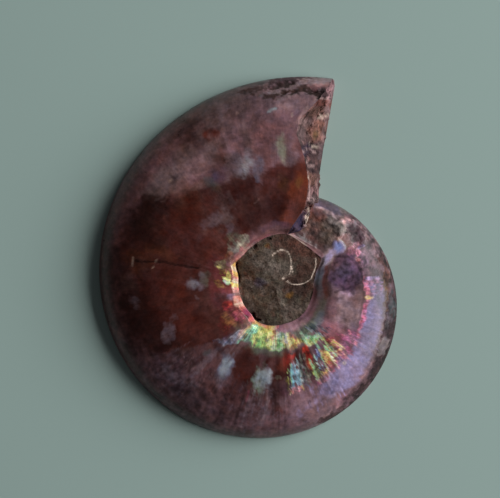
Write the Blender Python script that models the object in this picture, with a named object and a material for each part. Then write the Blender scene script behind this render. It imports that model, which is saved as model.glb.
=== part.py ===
"""Half of a polished ammonite, sawn along its plane of coiling and lying on the cut.

One solid: a single visible whorl that grows towards a broken mouth, and the stone that fills the umbilicus.
The whorl is laid out in polar terms about the pole of its spiral. A point's turn is its angle past the mouth,
its "across" is 0 at the umbilical rim and 1 at the outer edge.
"""

import math

import bmesh
import bpy
from mathutils import Vector, noise

# Driving dimensions, in millimetres unless the name says otherwise
MM = 0.001
LENGTH = 60.0
MOUTH_RADIUS = 0.6115 * LENGTH  # pole to the outline at the mouth
GROWTH_PER_TURN = 2.173
MOUTH_ANGLE = 75.0  # degrees from +X, counterclockwise, where it is measured
HALF_BREADTH = 0.150 * LENGTH  # thickness of the half whorl at the mouth
CROWN = 0.30  # across value where the flank is thickest
STONE_LEVEL = 0.068 * LENGTH  # height of the stone at the middle of the umbilicus
STONE_DISH = 0.25
WALL_WIDTH = 0.9  # of the steep umbilical wall, seen from above
SLOPE_POWER = 1.7  # how the flank bends down from its crown towards the rim

# The umbilical rim, in degrees from +X: its radius, its height, and the share of the flank's descent to it
# that is slope and not wall. The stone is flush with the shell where the share is near 1
RIM = (
    (16, 6.35), (31, 7.7), (34.5, 9.4), (47, 9.1), (60, 9.1), (80, 9.8), (90, 9.7), (114, 8.8), (131, 8.3),
    (146.5, 8.4), (151, 7.5), (158, 6.8), (173, 6.35), (187, 6.0), (221, 5.5), (233, 5.85), (266, 5.55),
    (285, 5.35), (325, 5.7), (350, 5.8),
)
RIM_HEIGHT = (
    (16, 4.1), (45, 4.1), (60, 4.5), (75, 5.1), (90, 5.6), (105, 5.7), (125, 5.3), (145, 4.4), (155, 3.9),
    (200, 3.85), (235, 4.1), (262, 4.6), (280, 4.8), (300, 4.75), (330, 4.5), (350, 4.3),
)
SLOPE_SHARE = (
    (16, 0.90), (45, 0.90), (75, 0.80), (100, 0.78), (118, 0.65), (140, 0.35), (200, 0.35),
    (235, 0.60), (262, 0.90), (280, 0.95), (330, 0.95), (350, 0.90),
)
RIM_EASE = (-3, -1, 1, 3)  # degrees to either side that a value is averaged over, which rounds corners

# The broken mouth: across, then degrees from +X, for the edge of the flank and for the foot of the break
BROKEN_EDGE = (
    (0.0, 79.5), (0.09, 75.4), (0.18, 72.0), (0.34, 74.1), (0.49, 78.8),
    (0.63, 83.0), (0.72, 82.6), (0.80, 79.6), (0.88, 77.0), (1.0, 75.2),
)
BREAK_FOOT = (
    (0.0, 79.5), (0.045, 69.5), (0.09, 66.4), (0.16, 67.4), (0.26, 66.0), (0.32, 68.2),
    (0.41, 70.3), (0.55, 71.9), (0.73, 73.1), (0.88, 73.9), (0.95, 74.2), (0.98, 74.6), (1.0, 75.2),
)
TUCK = 0.26  # across value of the foot where the inner whorl's outer edge tucks under the mouth
BREAK_STEEPNESS = 0.45

# Places where shell or filling is missing: degrees from +X, radius, half length along, half width, depth
LOST_SHELL = (
    (86.0, 34.3, 4.2, 0.8, 0.25),
    (79.0, 33.6, 1.6, 0.9, 0.35),
    (412.0, 12.4, 2.8, 2.3, 0.22),
    (396.0, 15.6, 1.9, 1.3, 0.30),
)
BREAK_PITS = (
    (73.5, 22.6, 1.2, 2.6, 1.10),
    (71.0, 13.6, 1.4, 2.2, 1.90),
)
BREAK_ROUGHNESS = 0.45
STONE_ROUGHNESS = 0.14
GRAIN_SIZE = 1.7

# Grid counts
ROWS_ACROSS = 32  # even, because the inner whorl's last column closes in pairs
COLUMNS_ALONG = 104
COLUMNS_BREAK = 6
RINGS_STONE = 7
EDGE_CROWDING = 1.15  # draws the inner whorl's rows a little back towards its rim

SHELL_COLOUR = (0.17, 0.075, 0.065, 1.0)


def clear_scene():
    for obj in list(bpy.data.objects):
        bpy.data.objects.remove(obj)


def smooth(x):
    x = min(1.0, max(0.0, x))
    return x * x * (3 - 2 * x)


def between(table, x):
    """Straight interpolation in a table of (x, value) pairs."""
    for (x0, y0), (x1, y1) in zip(table, table[1:]):
        if x <= x1:
            return y0 + (y1 - y0) * max(0.0, x - x0) / (x1 - x0)
    return table[-1][1]


def at_rim(table, angle):
    """A value of the closed rim, eased so that it has no corners."""
    first = table[0]
    closed = table + ((first[0] + 360, first[1]),)
    values = [between(closed, first[0] + (angle + turn - first[0]) % 360) for turn in RIM_EASE]
    return sum(values) / len(values)


def rim_radius(angle):
    return at_rim(RIM, angle)


def turn_at(angle):
    return (angle - MOUTH_ANGLE) / 360


def outer_radius(angle):
    return MOUTH_RADIUS * GROWTH_PER_TURN ** -turn_at(angle)


def radius_at(angle, across):
    rim = rim_radius(angle)
    return rim + across * (outer_radius(angle) - rim)


def dent(angle, radius, places):
    """Depth taken out at a point by the soft-edged oval places listed."""
    depth = 0.0
    for at, middle, half_length, half_width, deepest in places:
        along = math.radians(angle - at) * radius / half_length
        out = (radius - middle) / half_width
        depth += deepest * (1 - smooth((math.hypot(along, out) - 0.75) / 0.5))
    return depth


def stone_height(x, y, share):
    """The filling: from the rim's height, at share 1, to the middle's, a little dished and rough."""
    grain = noise.fractal(Vector((x, y, 3.1)) / GRAIN_SIZE, 1.0, 2.0, 3)
    dish = STONE_DISH * smooth(1 - math.hypot(x, y) / 9)
    edge = at_rim(RIM_HEIGHT, math.degrees(math.atan2(y, x)))
    return STONE_LEVEL + (edge - STONE_LEVEL) * share - dish + STONE_ROUGHNESS * grain


def flank_height(angle, across):
    """Height of the whorl: thickest at the crown, round at the outer edge, sloping to the rim's low wall."""
    crown_height = HALF_BREADTH * GROWTH_PER_TURN ** -turn_at(angle)
    radius = radius_at(angle, across)
    if across > CROWN:
        out = (across - CROWN) / (1 - CROWN)
        height = crown_height * max(0.0, 1 - out**2.3) ** 0.52
    else:
        slope = 1 - at_rim(SLOPE_SHARE, angle) * (1 - across / CROWN) ** SLOPE_POWER
        wall = smooth((radius - rim_radius(angle)) / WALL_WIDTH)
        rim = at_rim(RIM_HEIGHT, angle)
        height = rim + (crown_height - rim) * slope * wall
    lost = min(dent(angle, radius, LOST_SHELL), 0.8 * height)
    return height - lost * smooth(across * 8)


def polar(angle, radius, height):
    turned = math.radians(angle)
    return Vector((radius * math.cos(turned), radius * math.sin(turned), height))


def across_at(row, along):
    """Where a row lies across the whorl: half lie inside the tuck at the mouth, and all crowd to the edge."""
    at_tuck = math.sin(math.pi / 2 * row) ** EDGE_CROWDING
    if row < 0.5:
        return row * 2 * TUCK * (1 - along) + at_tuck * along
    at_mouth = TUCK + (1 - TUCK) * math.sin(math.pi * (row - 0.5))
    return at_mouth * (1 - along) + at_tuck * along


def on_whorl(along, row):
    """A point of the whorl: along runs from the mouth, 0, to the tuck, 1, and row from rim to edge."""
    across = across_at(row, along)
    start = between(BROKEN_EDGE, across)
    end = 360 + between(BREAK_FOOT, TUCK * across)
    angle = start + (end - start) * along
    return polar(angle, radius_at(angle, across), flank_height(angle, across))


def at_foot(row):
    """A point of the break's foot: on the inner whorl up to the tuck, then along the sawn edge."""
    if row <= 0.5:
        return on_whorl(1.0, row * 2)
    across = across_at(row, 0.0)
    tuck = math.hypot(*on_whorl(1.0, 1.0).xy)
    share = (across - TUCK) / (1 - TUCK)
    angle = between(BREAK_FOOT, across)
    return polar(angle, tuck + (outer_radius(angle) - tuck) * share, 0.0)


def on_break(climb, row):
    """A point of the broken face: climb runs from its foot, 0, to the edge of the flank, 1."""
    foot, edge = at_foot(row), on_whorl(0.0, row)
    point = foot.lerp(edge, climb)
    point.z = foot.z + (edge.z - foot.z) * climb**BREAK_STEEPNESS
    inside = math.sin(math.pi * climb)
    grain = noise.fractal(Vector((point.x, point.y, point.z)) / GRAIN_SIZE, 1.0, 2.0, 3)
    angle, radius = math.degrees(math.atan2(point.y, point.x)), math.hypot(point.x, point.y)
    point.z += inside * (BREAK_ROUGHNESS * grain - dent(angle, radius, BREAK_PITS))
    point.z = max(point.z, 0.25 * inside)
    return point


def surface_grid(mesh):
    """The upper surface: one grid rolled round the pole, its break columns first, then the whorl's."""
    columns = COLUMNS_BREAK + COLUMNS_ALONG
    bmesh.ops.create_grid(mesh, x_segments=columns, y_segments=ROWS_ACROSS, size=0.5)
    for vert in mesh.verts:
        column = round((vert.co.x + 0.5) * columns)
        index = round((vert.co.y + 0.5) * ROWS_ACROSS)
        if column <= COLUMNS_BREAK:
            vert.co = on_break(column / COLUMNS_BREAK, index / ROWS_ACROSS)
        else:
            along = (column - COLUMNS_BREAK) / COLUMNS_ALONG
            if along == 1.0:
                index -= index % 2
            vert.co = on_whorl(along, index / ROWS_ACROSS)
    bmesh.ops.remove_doubles(mesh, verts=mesh.verts, dist=1e-4)


def boundary_loops(mesh):
    """The mesh's open edges as loops of edges, each sorted so that every build gives the same mesh."""
    mesh.edges.index_update()
    left = {edge for edge in mesh.edges if edge.is_boundary}
    loops = []
    while left:
        loop, front = [], {left.pop()}
        while front:
            loop += front
            near = {e for edge in front for vert in edge.verts for e in vert.link_edges}
            front = near & left
            left -= front
        loops.append(sorted(loop, key=lambda edge: edge.index))
    return loops


def reach(loop):
    return max(vert.co.xy.length for edge in loop for vert in edge.verts)


def fill_umbilicus(mesh, rim):
    """Rings of stone drawn in from the rim, closed at the middle."""
    middle = sum((edge.verts[0].co for edge in rim), Vector()) / len(rim)
    ring = rim
    for step in range(1, RINGS_STONE + 1):
        share = 1 - step / RINGS_STONE
        made = bmesh.ops.extrude_edge_only(mesh, edges=ring)["geom"]
        ring = [item for item in made if isinstance(item, bmesh.types.BMEdge)]
        ring = [edge for edge in ring if edge.is_boundary]
        shrink = share / (share + 1 / RINGS_STONE)
        for vert in {vert for edge in ring for vert in edge.verts}:
            vert.co.xy = middle.xy + (vert.co.xy - middle.xy) * shrink
            vert.co.z = stone_height(vert.co.x, vert.co.y, share)
    bmesh.ops.remove_doubles(mesh, verts=mesh.verts, dist=1e-4)


def close_sawn_face(mesh):
    """The flat cut through the plane of coiling."""
    rim = [edge for edge in mesh.edges if edge.is_boundary]
    for vert in {vert for edge in rim for vert in edge.verts}:
        vert.co.z = 0.0
    bmesh.ops.edgeloop_fill(mesh, edges=rim)


def centre_on_box(mesh):
    """Puts the middle of the box's base at the origin, and turns millimetres into metres."""
    xs = [vert.co.x for vert in mesh.verts]
    ys = [vert.co.y for vert in mesh.verts]
    shift = Vector(((max(xs) + min(xs)) / 2, (max(ys) + min(ys)) / 2, 0))
    for vert in mesh.verts:
        vert.co = (vert.co - shift) * MM


def shell_material():
    material = bpy.data.materials.new("polished_shell")
    material.use_nodes = True
    surface = material.node_tree.nodes["Principled BSDF"]
    surface.inputs["Base Color"].default_value = SHELL_COLOUR
    surface.inputs["Roughness"].default_value = 0.32
    surface.inputs["Metallic"].default_value = 0.0
    return material


def make_ammonite():
    mesh = bmesh.new()
    surface_grid(mesh)
    rim = min(boundary_loops(mesh), key=reach)
    fill_umbilicus(mesh, rim)
    close_sawn_face(mesh)
    bmesh.ops.triangulate(mesh, faces=mesh.faces)
    bmesh.ops.recalc_face_normals(mesh, faces=mesh.faces)
    centre_on_box(mesh)
    data = bpy.data.meshes.new("ammonite_half")
    mesh.to_mesh(data)
    mesh.free()
    data.materials.append(shell_material())
    data.shade_smooth()
    data.set_sharp_from_angle(angle=math.radians(40))
    obj = bpy.data.objects.new("ammonite_half", data)
    bpy.context.scene.collection.objects.link(obj)


clear_scene()
make_ammonite()
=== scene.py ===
import math
import bmesh
import bpy
import numpy as np
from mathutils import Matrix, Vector, noise


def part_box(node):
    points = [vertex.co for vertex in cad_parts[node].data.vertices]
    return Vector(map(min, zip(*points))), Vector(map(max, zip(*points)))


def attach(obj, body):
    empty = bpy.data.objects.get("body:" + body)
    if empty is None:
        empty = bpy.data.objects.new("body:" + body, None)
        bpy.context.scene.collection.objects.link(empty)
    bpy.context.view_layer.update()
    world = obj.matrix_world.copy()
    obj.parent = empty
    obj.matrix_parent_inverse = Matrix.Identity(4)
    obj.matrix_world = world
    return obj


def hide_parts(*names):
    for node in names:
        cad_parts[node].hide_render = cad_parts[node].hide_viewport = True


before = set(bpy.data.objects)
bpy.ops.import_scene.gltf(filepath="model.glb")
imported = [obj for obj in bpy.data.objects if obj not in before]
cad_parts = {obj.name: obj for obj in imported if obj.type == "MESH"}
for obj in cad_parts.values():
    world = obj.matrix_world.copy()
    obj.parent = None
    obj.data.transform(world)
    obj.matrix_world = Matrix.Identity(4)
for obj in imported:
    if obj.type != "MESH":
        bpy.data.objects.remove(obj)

noise.seed_set(6)  # the same wandering of the markings at every run

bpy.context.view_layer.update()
low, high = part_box("ammonite_half")
mm = (high.y - low.y) / 60  # the shell is 60 mm long, and everything below is in millimetres of it

# The whorl: the same spiral as the solid's. Angles are degrees from +X about the pole of the spiral
whorl = {
    "mouthRadius": 36.69,  # pole to the outline at the mouth
    "mouthAngle": 75.0,
    "growth": 2.173,  # per turn
    "halfBreadth": 9.0,
    "crown": 0.30,  # where the flank is thickest, from 0 at the umbilical rim to 1 at the outer edge
    "stoneLevel": 4.08,  # at the middle of the umbilicus
    "stoneDish": 0.25,
    "dishReach": 9.0,
    "ringCrowding": 0.45,  # 0 draws the stone's rings close together by the rim, 1 sets them evenly
    "wallWidth": 0.9,
    "slopePower": 1.7,
    "tuck": 0.26,  # where the inner whorl's outer edge tucks under the mouth
    "shoulder": (2.3, 0.52),  # powers that round the outer edge
    "breakSteepness": 0.45,
    "breakGrain": ((0.45, 1.7, 3, 2.0), (0.22, 0.55, 4, 2.1)),  # depth, size, octaves, lacunarity
    "columns": 520,
    "breakColumns": 44,
    "rows": 128,  # even: the inner whorl's last column closes in pairs
    "stoneRings": 36,
    "crowding": 1.15,
    "eyeFoot": (-4.55, 7.21),  # below the eye that the markings' places are read from
    "eyeHeight": 900,
    "rimEase": (-3, -1, 1, 3),  # degrees that the rim is averaged over, so that it has no corners
    "lift": 0.02,  # nothing but the cut touches the table
    "mergeWithin": 1e-4,
    "sharpFrom": 38,  # degrees between two faces
}
# The umbilical rim by degrees: its radius, its height, and how much of the flank's way down to it is slope
rim = (
    (16, 6.35), (31, 7.7), (34.5, 9.4), (47, 9.1), (60, 9.1), (80, 9.8), (90, 9.7), (114, 8.8), (131, 8.3),
    (146.5, 8.4), (151, 7.5), (158, 6.8), (173, 6.35), (187, 6.0), (221, 5.5), (233, 5.85), (266, 5.55),
    (285, 5.35), (325, 5.7), (350, 5.8), (376, 6.35),
)
rimHeight = (
    (16, 4.1), (45, 4.1), (60, 4.5), (75, 5.1), (90, 5.6), (105, 5.7), (125, 5.3), (145, 4.4), (155, 3.9),
    (200, 3.85), (235, 4.1), (262, 4.6), (280, 4.8), (300, 4.75), (330, 4.5), (350, 4.3), (376, 4.1),
)
slopeShare = (
    (16, 0.9), (45, 0.9), (75, 0.8), (100, 0.78), (118, 0.65), (140, 0.35), (200, 0.35), (235, 0.6),
    (262, 0.9), (280, 0.95), (330, 0.95), (350, 0.9), (376, 0.9),
)
# across, degrees
brokenEdge = (
    (0.0, 79.5), (0.09, 75.4), (0.18, 72.0), (0.34, 74.1), (0.49, 78.8), (0.63, 83.0), (0.72, 82.6),
    (0.8, 79.6), (0.88, 77.0), (1.0, 75.2),
)
breakFoot = (
    (0.0, 79.5), (0.045, 69.5), (0.09, 66.4), (0.16, 67.4), (0.26, 66.0), (0.32, 68.2), (0.41, 70.3),
    (0.55, 71.9), (0.73, 73.1), (0.88, 73.9), (0.95, 74.2), (0.98, 74.6), (1.0, 75.2),
)
# degrees, radius, half length, half width, depth
lostShell = (
    (86, 34.3, 4.2, 0.8, 0.25), (79, 33.6, 1.6, 0.9, 0.35), (412, 12.4, 2.8, 2.3, 0.22),
    (396, 15.6, 1.9, 1.3, 0.3),
)
breakPits = ((73.5, 22.6, 1.2, 2.6, 1.1), (71, 13.6, 1.4, 2.2, 1.9))


def smooth(x):
    x = np.clip(x, 0, 1)
    return x * x * (3 - 2 * x)


def onTable(table, x):
    return np.interp(x, [row[0] for row in table], [row[1] for row in table])


def atRim(table, angle):
    first, ease = table[0][0], whorl["rimEase"]
    return sum(onTable(table, first + (angle + turn - first) % 360) for turn in ease) / len(ease)


def rimRadius(angle):
    return atRim(rim, angle)


def outerRadius(angle):
    return whorl["mouthRadius"] * whorl["growth"] ** ((whorl["mouthAngle"] - angle) / 360)


def radiusAt(angle, across):
    return rimRadius(angle) * (1 - across) + across * outerRadius(angle)


def polar(angle, radius):
    return np.stack((radius * np.cos(np.radians(angle)), radius * np.sin(np.radians(angle))), axis=-1)


def grain(points, size, octaves=4, lacunarity=2.1):  # noise from about -1 to 1 at each point
    return np.array([noise.fractal(Vector(p) / size, 1.0, lacunarity, octaves) for p in points])


def dents(angle, radius, places):  # how deep the soft-edged hollows are
    depth = np.zeros_like(radius)
    for at, middle, halfLength, halfWidth, deepest in places:
        along = np.radians(angle - at) * radius / halfLength
        out = (radius - middle) / halfWidth
        depth += deepest * (1 - smooth((np.hypot(along, out) - 0.75) / 0.5))
    return depth


def flankHeight(angle, across):  # thickest at the crown, round at the outer edge, walled at the rim
    crownHeight = whorl["halfBreadth"] * whorl["growth"] ** ((whorl["mouthAngle"] - angle) / 360)
    crown, (power, root) = whorl["crown"], whorl["shoulder"]
    out = np.clip((across - crown) / (1 - crown), 0, 1)
    slope = 1 - atRim(slopeShare, angle) * np.clip(1 - across / crown, 0, 1) ** whorl["slopePower"]
    wall = smooth((radiusAt(angle, across) - rimRadius(angle)) / whorl["wallWidth"])
    edge = atRim(rimHeight, angle)
    inner = edge + (crownHeight - edge) * slope * wall
    return np.where(across > crown, crownHeight * (1 - out**power) ** root, inner)


def acrossAt(row, along):  # half the rows lie inside the tuck at the mouth, and all crowd to the outer edge
    tuck = whorl["tuck"]
    atTuck = np.sin(math.pi / 2 * row) ** whorl["crowding"]
    atMouth = np.where(row < 0.5, row * 2 * tuck, tuck + (1 - tuck) * np.sin(math.pi * (row - 0.5)))
    return atMouth * (1 - along) + atTuck * along


def onWhorl(along, row):  # along: 0 at the mouth, 1 at the tuck; row: 0 at the rim, 1 at the outer edge
    across = acrossAt(row, along)
    start = onTable(brokenEdge, across)
    end = 360 + onTable(breakFoot, whorl["tuck"] * across)
    angle = start + (end - start) * along
    place = polar(angle, radiusAt(angle, across))
    return np.column_stack((place, flankHeight(angle, across))), angle, across


def atFoot(row):  # the foot of the break: on the inner whorl up to the tuck, then along the sawn edge
    inner = onWhorl(np.ones_like(row), np.minimum(row * 2, 1.0))[0]
    across = acrossAt(row, np.zeros_like(row))
    tuckRadius = math.hypot(*onWhorl(np.ones(1), np.ones(1))[0][0, :2])
    share = (across - whorl["tuck"]) / (1 - whorl["tuck"])
    angle = onTable(breakFoot, across)
    outer = polar(angle, tuckRadius + (outerRadius(angle) - tuckRadius) * share)
    return np.where((row <= 0.5)[:, None], inner, np.column_stack((outer, np.zeros_like(row))))


def onBreak(climb, row):  # climb: 0 at the foot, 1 at the edge of the flank
    foot, edge = atFoot(row), onWhorl(np.zeros_like(row), row)[0]
    point = foot + (edge - foot) * climb[:, None]
    point[:, 2] = foot[:, 2] + (edge[:, 2] - foot[:, 2]) * climb ** whorl["breakSteepness"]
    inside = np.sin(math.pi * climb)
    angle, radius = np.degrees(np.arctan2(point[:, 1], point[:, 0])), np.hypot(point[:, 0], point[:, 1])
    rough = sum(depth * grain(point, size, octaves, gap) for depth, size, octaves, gap in whorl["breakGrain"])
    lowest = 0.25 * inside  # the break stays above the cut
    point[:, 2] = np.maximum(point[:, 2] + inside * (rough - dents(angle, radius, breakPits)), lowest)
    across = (radius - rimRadius(angle)) / (outerRadius(angle) - rimRadius(angle))
    return point, angle, across


shellPart, breakPart, stonePart, sawnPart = range(4)


def gridOfShell(mesh, alongLayer, acrossLayer):  # one grid rolled round the pole, its break columns first
    breakColumns, rows = whorl["breakColumns"], whorl["rows"]
    columns = breakColumns + whorl["columns"]
    bmesh.ops.create_grid(mesh, x_segments=columns, y_segments=rows, size=0.5)
    flat = np.array([vert.co[:2] for vert in mesh.verts])
    column = np.rint((flat[:, 0] + 0.5) * columns)
    row = np.rint((flat[:, 1] + 0.5) * rows)
    row = np.where(column == columns, row - row % 2, row) / rows
    broken = column < breakColumns
    for face in mesh.faces:
        inBreak = (face.calc_center_median().x + 0.5) * columns < breakColumns
        face.material_index = breakPart if inBreak else shellPart
    points, angles, acrosses = onWhorl(np.maximum(column - breakColumns, 0) / whorl["columns"], row)
    points[broken], angles[broken], acrosses[broken] = onBreak(column[broken] / breakColumns, row[broken])
    for vert, point, angle, across in zip(mesh.verts, points, angles, acrosses):
        vert.co = point
        vert[alongLayer], vert[acrossLayer] = angle, across
    bmesh.ops.remove_doubles(mesh, verts=mesh.verts, dist=whorl["mergeWithin"])


def openLoops(mesh):  # each loop sorted, so that every run gives the same mesh
    mesh.edges.index_update()
    left = {edge for edge in mesh.edges if edge.is_boundary}
    loops = []
    while left:
        loop, front = [], {left.pop()}
        while front:
            loop += front
            near = {e for edge in front for vert in edge.verts for e in vert.link_edges}
            front = near & left
            left -= front
        loops.append(sorted(loop, key=lambda edge: edge.index))
    return loops


def reach(loop):  # how far from the pole it comes
    return max(vert.co.xy.length for edge in loop for vert in edge.verts)


def fillUmbilicus(mesh, ring, alongLayer, acrossLayer):  # rings of stone drawn in from the rim
    middle = sum((edge.verts[0].co for edge in ring), Vector()) / len(ring)
    rings, crowding, level, share = whorl["stoneRings"], whorl["ringCrowding"], whorl["stoneLevel"], 1.0
    for step in range(1, rings + 1):
        part = step / rings
        newShare = 1 - part * (crowding + (1 - crowding) * part)
        made = bmesh.ops.extrude_edge_only(mesh, edges=ring)["geom"]
        for face in made:
            if isinstance(face, bmesh.types.BMFace):
                face.material_index = stonePart
        ring = [edge for edge in made if isinstance(edge, bmesh.types.BMEdge) and edge.is_boundary]
        for vert in {vert for edge in ring for vert in edge.verts}:
            vert.co.xy = middle.xy + (vert.co.xy - middle.xy) * (newShare / share)
            radius, angle = vert.co.xy.length, math.degrees(math.atan2(vert.co.y, vert.co.x)) % 360
            fall = float(atRim(rimHeight, angle)) - level
            dish = whorl["stoneDish"] * float(smooth(1 - radius / whorl["dishReach"]))
            vert.co.z = level + fall * newShare - dish
            vert[alongLayer] = angle
            vert[acrossLayer] = radius / float(rimRadius(angle)) - 1
        share = newShare
    bmesh.ops.remove_doubles(mesh, verts=mesh.verts, dist=whorl["mergeWithin"])


def closeSawnFace(mesh):
    edges = [edge for edge in mesh.edges if edge.is_boundary]
    for vert in {vert for edge in edges for vert in edge.verts}:
        vert.co.z = 0
    for face in bmesh.ops.edgeloop_fill(mesh, edges=edges)["faces"]:
        face.material_index = sawnPart


# What the shell is coloured with, as screen colours from 0 to 255
shades = {
    # the plain shell
    "mauve": (122, 96, 102), "rosyMauve": (140, 106, 114), "paleMauve": (142, 120, 120),
    "brownMauve": (98, 72, 70), "umberMauve": (86, 58, 54), "duskMauve": (88, 66, 72),
    "reddishMauve": (84, 52, 52), "greyMauve": (118, 104, 106), "lightMauve": (164, 138, 142),
    "crushedBrown": (104, 72, 66), "inkBlue": (50, 44, 74), "brickRed": (138, 70, 48),
    "plumBrown": (70, 46, 52), "umber": (62, 38, 34), "darkUmber": (40, 22, 19), "plum": (84, 62, 84),
    "darkPlum": (48, 32, 38), "slate": (84, 78, 104), "maroon": (98, 50, 58), "tan": (128, 104, 102),
    "roseBrown": (124, 84, 86), "roseLight": (172, 124, 126), "rosePale": (178, 146, 144),
    "cream": (238, 214, 196),
    # the deep red glassy calcite
    "deepRed": (72, 28, 20), "darkRed": (52, 18, 13), "warmRed": (104, 46, 32), "brightRed": (182, 60, 48),
    "nearBlack": (32, 14, 10), "brownBlack": (44, 24, 16), "rust": (100, 44, 30), "amber": (124, 74, 44),
    # clouds and the play of colour
    "cloudMauve": (126, 112, 124), "cloudBlue": (150, 154, 166), "steelBlue": (124, 136, 164),
    "paleSage": (150, 154, 138), "lavender": (156, 144, 186), "lilac": (172, 156, 198),
    "periwinkle": (128, 144, 204), "teal": (80, 92, 96), "darkTeal": (48, 52, 66), "rose": (214, 132, 146),
    "hotPink": (232, 128, 154), "magenta": (178, 84, 116), "salmon": (240, 150, 140), "gold": (240, 208, 128),
    "orange": (226, 156, 104), "yellowGreen": (202, 210, 116), "leafGreen": (140, 206, 122),
    "mint": (166, 226, 178), "ice": (196, 222, 228), "skyBlue": (138, 194, 218), "seaGreen": (122, 166, 138),
    "olive": (126, 112, 58), "dullGreen": (98, 112, 96),
    # stone
    "stone": (90, 80, 70), "greenStone": (92, 88, 72), "brownStone": (88, 58, 44), "darkStone": (44, 34, 30),
    "cavity": (40, 28, 34), "redStone": (84, 52, 44), "ochre": (150, 104, 44), "paleStone": (126, 112, 104),
    "table": (172, 197, 190),
}


def linear(shade):
    parts = np.array(shades[shade]) / 255
    return np.where(parts <= 0.04045, parts / 12.92, ((parts + 0.055) / 1.055) ** 2.4)


# Noises that fray and mottle the markings: how many, first height, height apart, size in mm, octaves
mottles = {"clouds": (4, 0, 11.3, 1.5, 5), "broad": (3, 40, 9.1, 5.5, 3), "specks": (2, 70, 6.3, 0.75, 3)}
canvas = {}  # each point's place on the whorl, and what has been painted there


def startCanvas(points, along, across, part):
    canvas.update(points=points, along=along, across=across, part=part, moved={}, turn=0)
    # places are read from above, where a high point is seen a little farther out than it is
    canvas["seen"] = points[:, :2] + (points[:, :2] - whorl["eyeFoot"]) * points[:, 2:] / whorl["eyeHeight"]
    canvas["tint"], canvas["veil"] = np.zeros((len(points), 3)), np.zeros((len(points), 3))
    for name in ("cover", "fire", "worn", "relief"):
        canvas[name] = np.zeros(len(points))
    deep = points[:, 2] * (part == breakPart)  # down the broken face the markings wander too
    # a height of its own keeps each noise apart from the others
    broad, fine = (
        np.array([noise.noise_vector(Vector((x, y, apart + z)) / size)[:2]
                  for (x, y, _), z in zip(points, deep)])
        for apart, size in ((7.7, 2.6), (2.2, 0.75))
    )
    canvas["stray"] = broad + 0.6 * fine
    for name, (count, first, apart, size, octaves) in mottles.items():
        canvas[name] = [grain(points + (0, 0, first + apart * step), size, octaves) for step in range(count)]
    # drawn out along the growth lines
    lie = np.column_stack((along * 0.8, across * 2.2, 0.1 * points[:, 2]))
    canvas["fibres"] = [grain(lie + (0, 0, 5.0 * step), 1.0, 4) for step in range(2)]
    canvas["threads"] = grain(np.column_stack((along, across * 7, 0.1 * points[:, 2])), 1.1, 2)


def placesAt(stray):  # each point's place, led astray by that many millimetres
    if stray not in canvas["moved"]:
        place = canvas["seen"] + stray * canvas["stray"]
        angle = np.degrees(np.arctan2(place[:, 1], place[:, 0]))
        angle += 360 * np.rint((canvas["along"] - angle) / 360)
        radius = np.hypot(place[:, 0], place[:, 1])
        inner = rimRadius(angle)
        across = (radius - inner) / (outerRadius(angle) - inner)
        across = np.where(canvas["part"] == stonePart, radius / inner - 1, across)
        canvas["moved"][stray] = place, angle, across
    return canvas["moved"][stray]


def oval(along, across, lean=0, edge=0.4, stray=0.4):
    angle, out = placesAt(stray)[1:]
    middle = sum(across) / 2
    angle = angle - lean * (out - middle)
    length, width = along[1] - along[0], across[1] - across[0]
    away = np.hypot((angle - sum(along) / 2) / length, (out - middle) / width) * 2
    return 1 - smooth((away - 1 + edge) / (2 * edge))


def belt(lower, upper, edge=0.02, stray=0.4):  # between two lines of (along, across)
    angle, out = placesAt(stray)[1:]
    aboveLower, belowUpper = out - onTable(lower, angle), onTable(upper, angle) - out
    inside = smooth(aboveLower / edge + 0.5) * smooth(belowUpper / edge + 0.5)
    first, last = max(lower[0][0], upper[0][0]), min(lower[-1][0], upper[-1][0])
    return inside * (angle > first) * (angle < last)


def onShell(route):  # (along, across) points as places in millimetres
    return [polar(angle, radiusAt(angle, across)) for angle, across in route]


def onStone(route):  # (angle, radius) points as places in millimetres
    return [polar(angle, radius) for angle, radius in route]


def stroke(route, width, edge=0.5, stray=0.2):  # a line through the places, that many millimetres wide
    place = placesAt(stray)[0]
    near = np.full(len(place), 1e9)
    for start, end in zip(route, route[1:]):
        step = end - start
        share = np.clip(((place - start) @ step) / (step @ step), 0, 1)
        near = np.minimum(near, np.hypot(*(place - start - share[:, None] * step).T))
    return 1 - smooth((near / (width / 2) - 1 + edge) / (2 * edge))


def paint(mask, colour, strength=1.0, part=shellPart, ragged=0.5, fibrous=0.0, veil=False, **also):
    # ragged frays the edge and thins the middle; a veil lies over the ground, torn finely by its material
    turn = canvas["turn"] = canvas["turn"] + 1
    fray = canvas["clouds"][turn % 4] * (1 - fibrous) + canvas["fibres"][turn % 2] * fibrous
    frayed = np.clip(mask + ragged * fray * 4 * mask * (1 - mask), 0, 1)
    mask = frayed * np.clip(1 - 0.5 * ragged * (1 - fray), 0, 1) * (canvas["part"] == part)
    share = mask * strength
    colour = linear(colour) if isinstance(colour, str) else colour
    if veil:
        total = canvas["cover"] + share - canvas["cover"] * share
        canvas["veil"] += (share / np.maximum(total, 1e-6))[:, None] * (colour - canvas["veil"])
        canvas["cover"] = total
    else:
        canvas["tint"] += share[:, None] * (colour - canvas["tint"])
    for name, amount in also.items():
        canvas[name] += mask * (amount if name == "relief" else amount - canvas[name])


def cloudy(mask, amount):  # a soft mask, thicker and thinner from place to place
    uneven = 0.9 * canvas["specks"][0] + 0.5 * canvas["threads"] + 0.5 * canvas["clouds"][2]
    return np.clip(mask * (1 + amount * uneven), 0, 1)


def wispy(mask, amount=1.0):  # a soft mask broken into specks and shreds
    specks = canvas["specks"][0]
    return smooth(1.15 * mask - 0.15 + amount * (0.5 * specks + 0.25 * canvas["threads"]) * (mask > 0.01))


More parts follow.
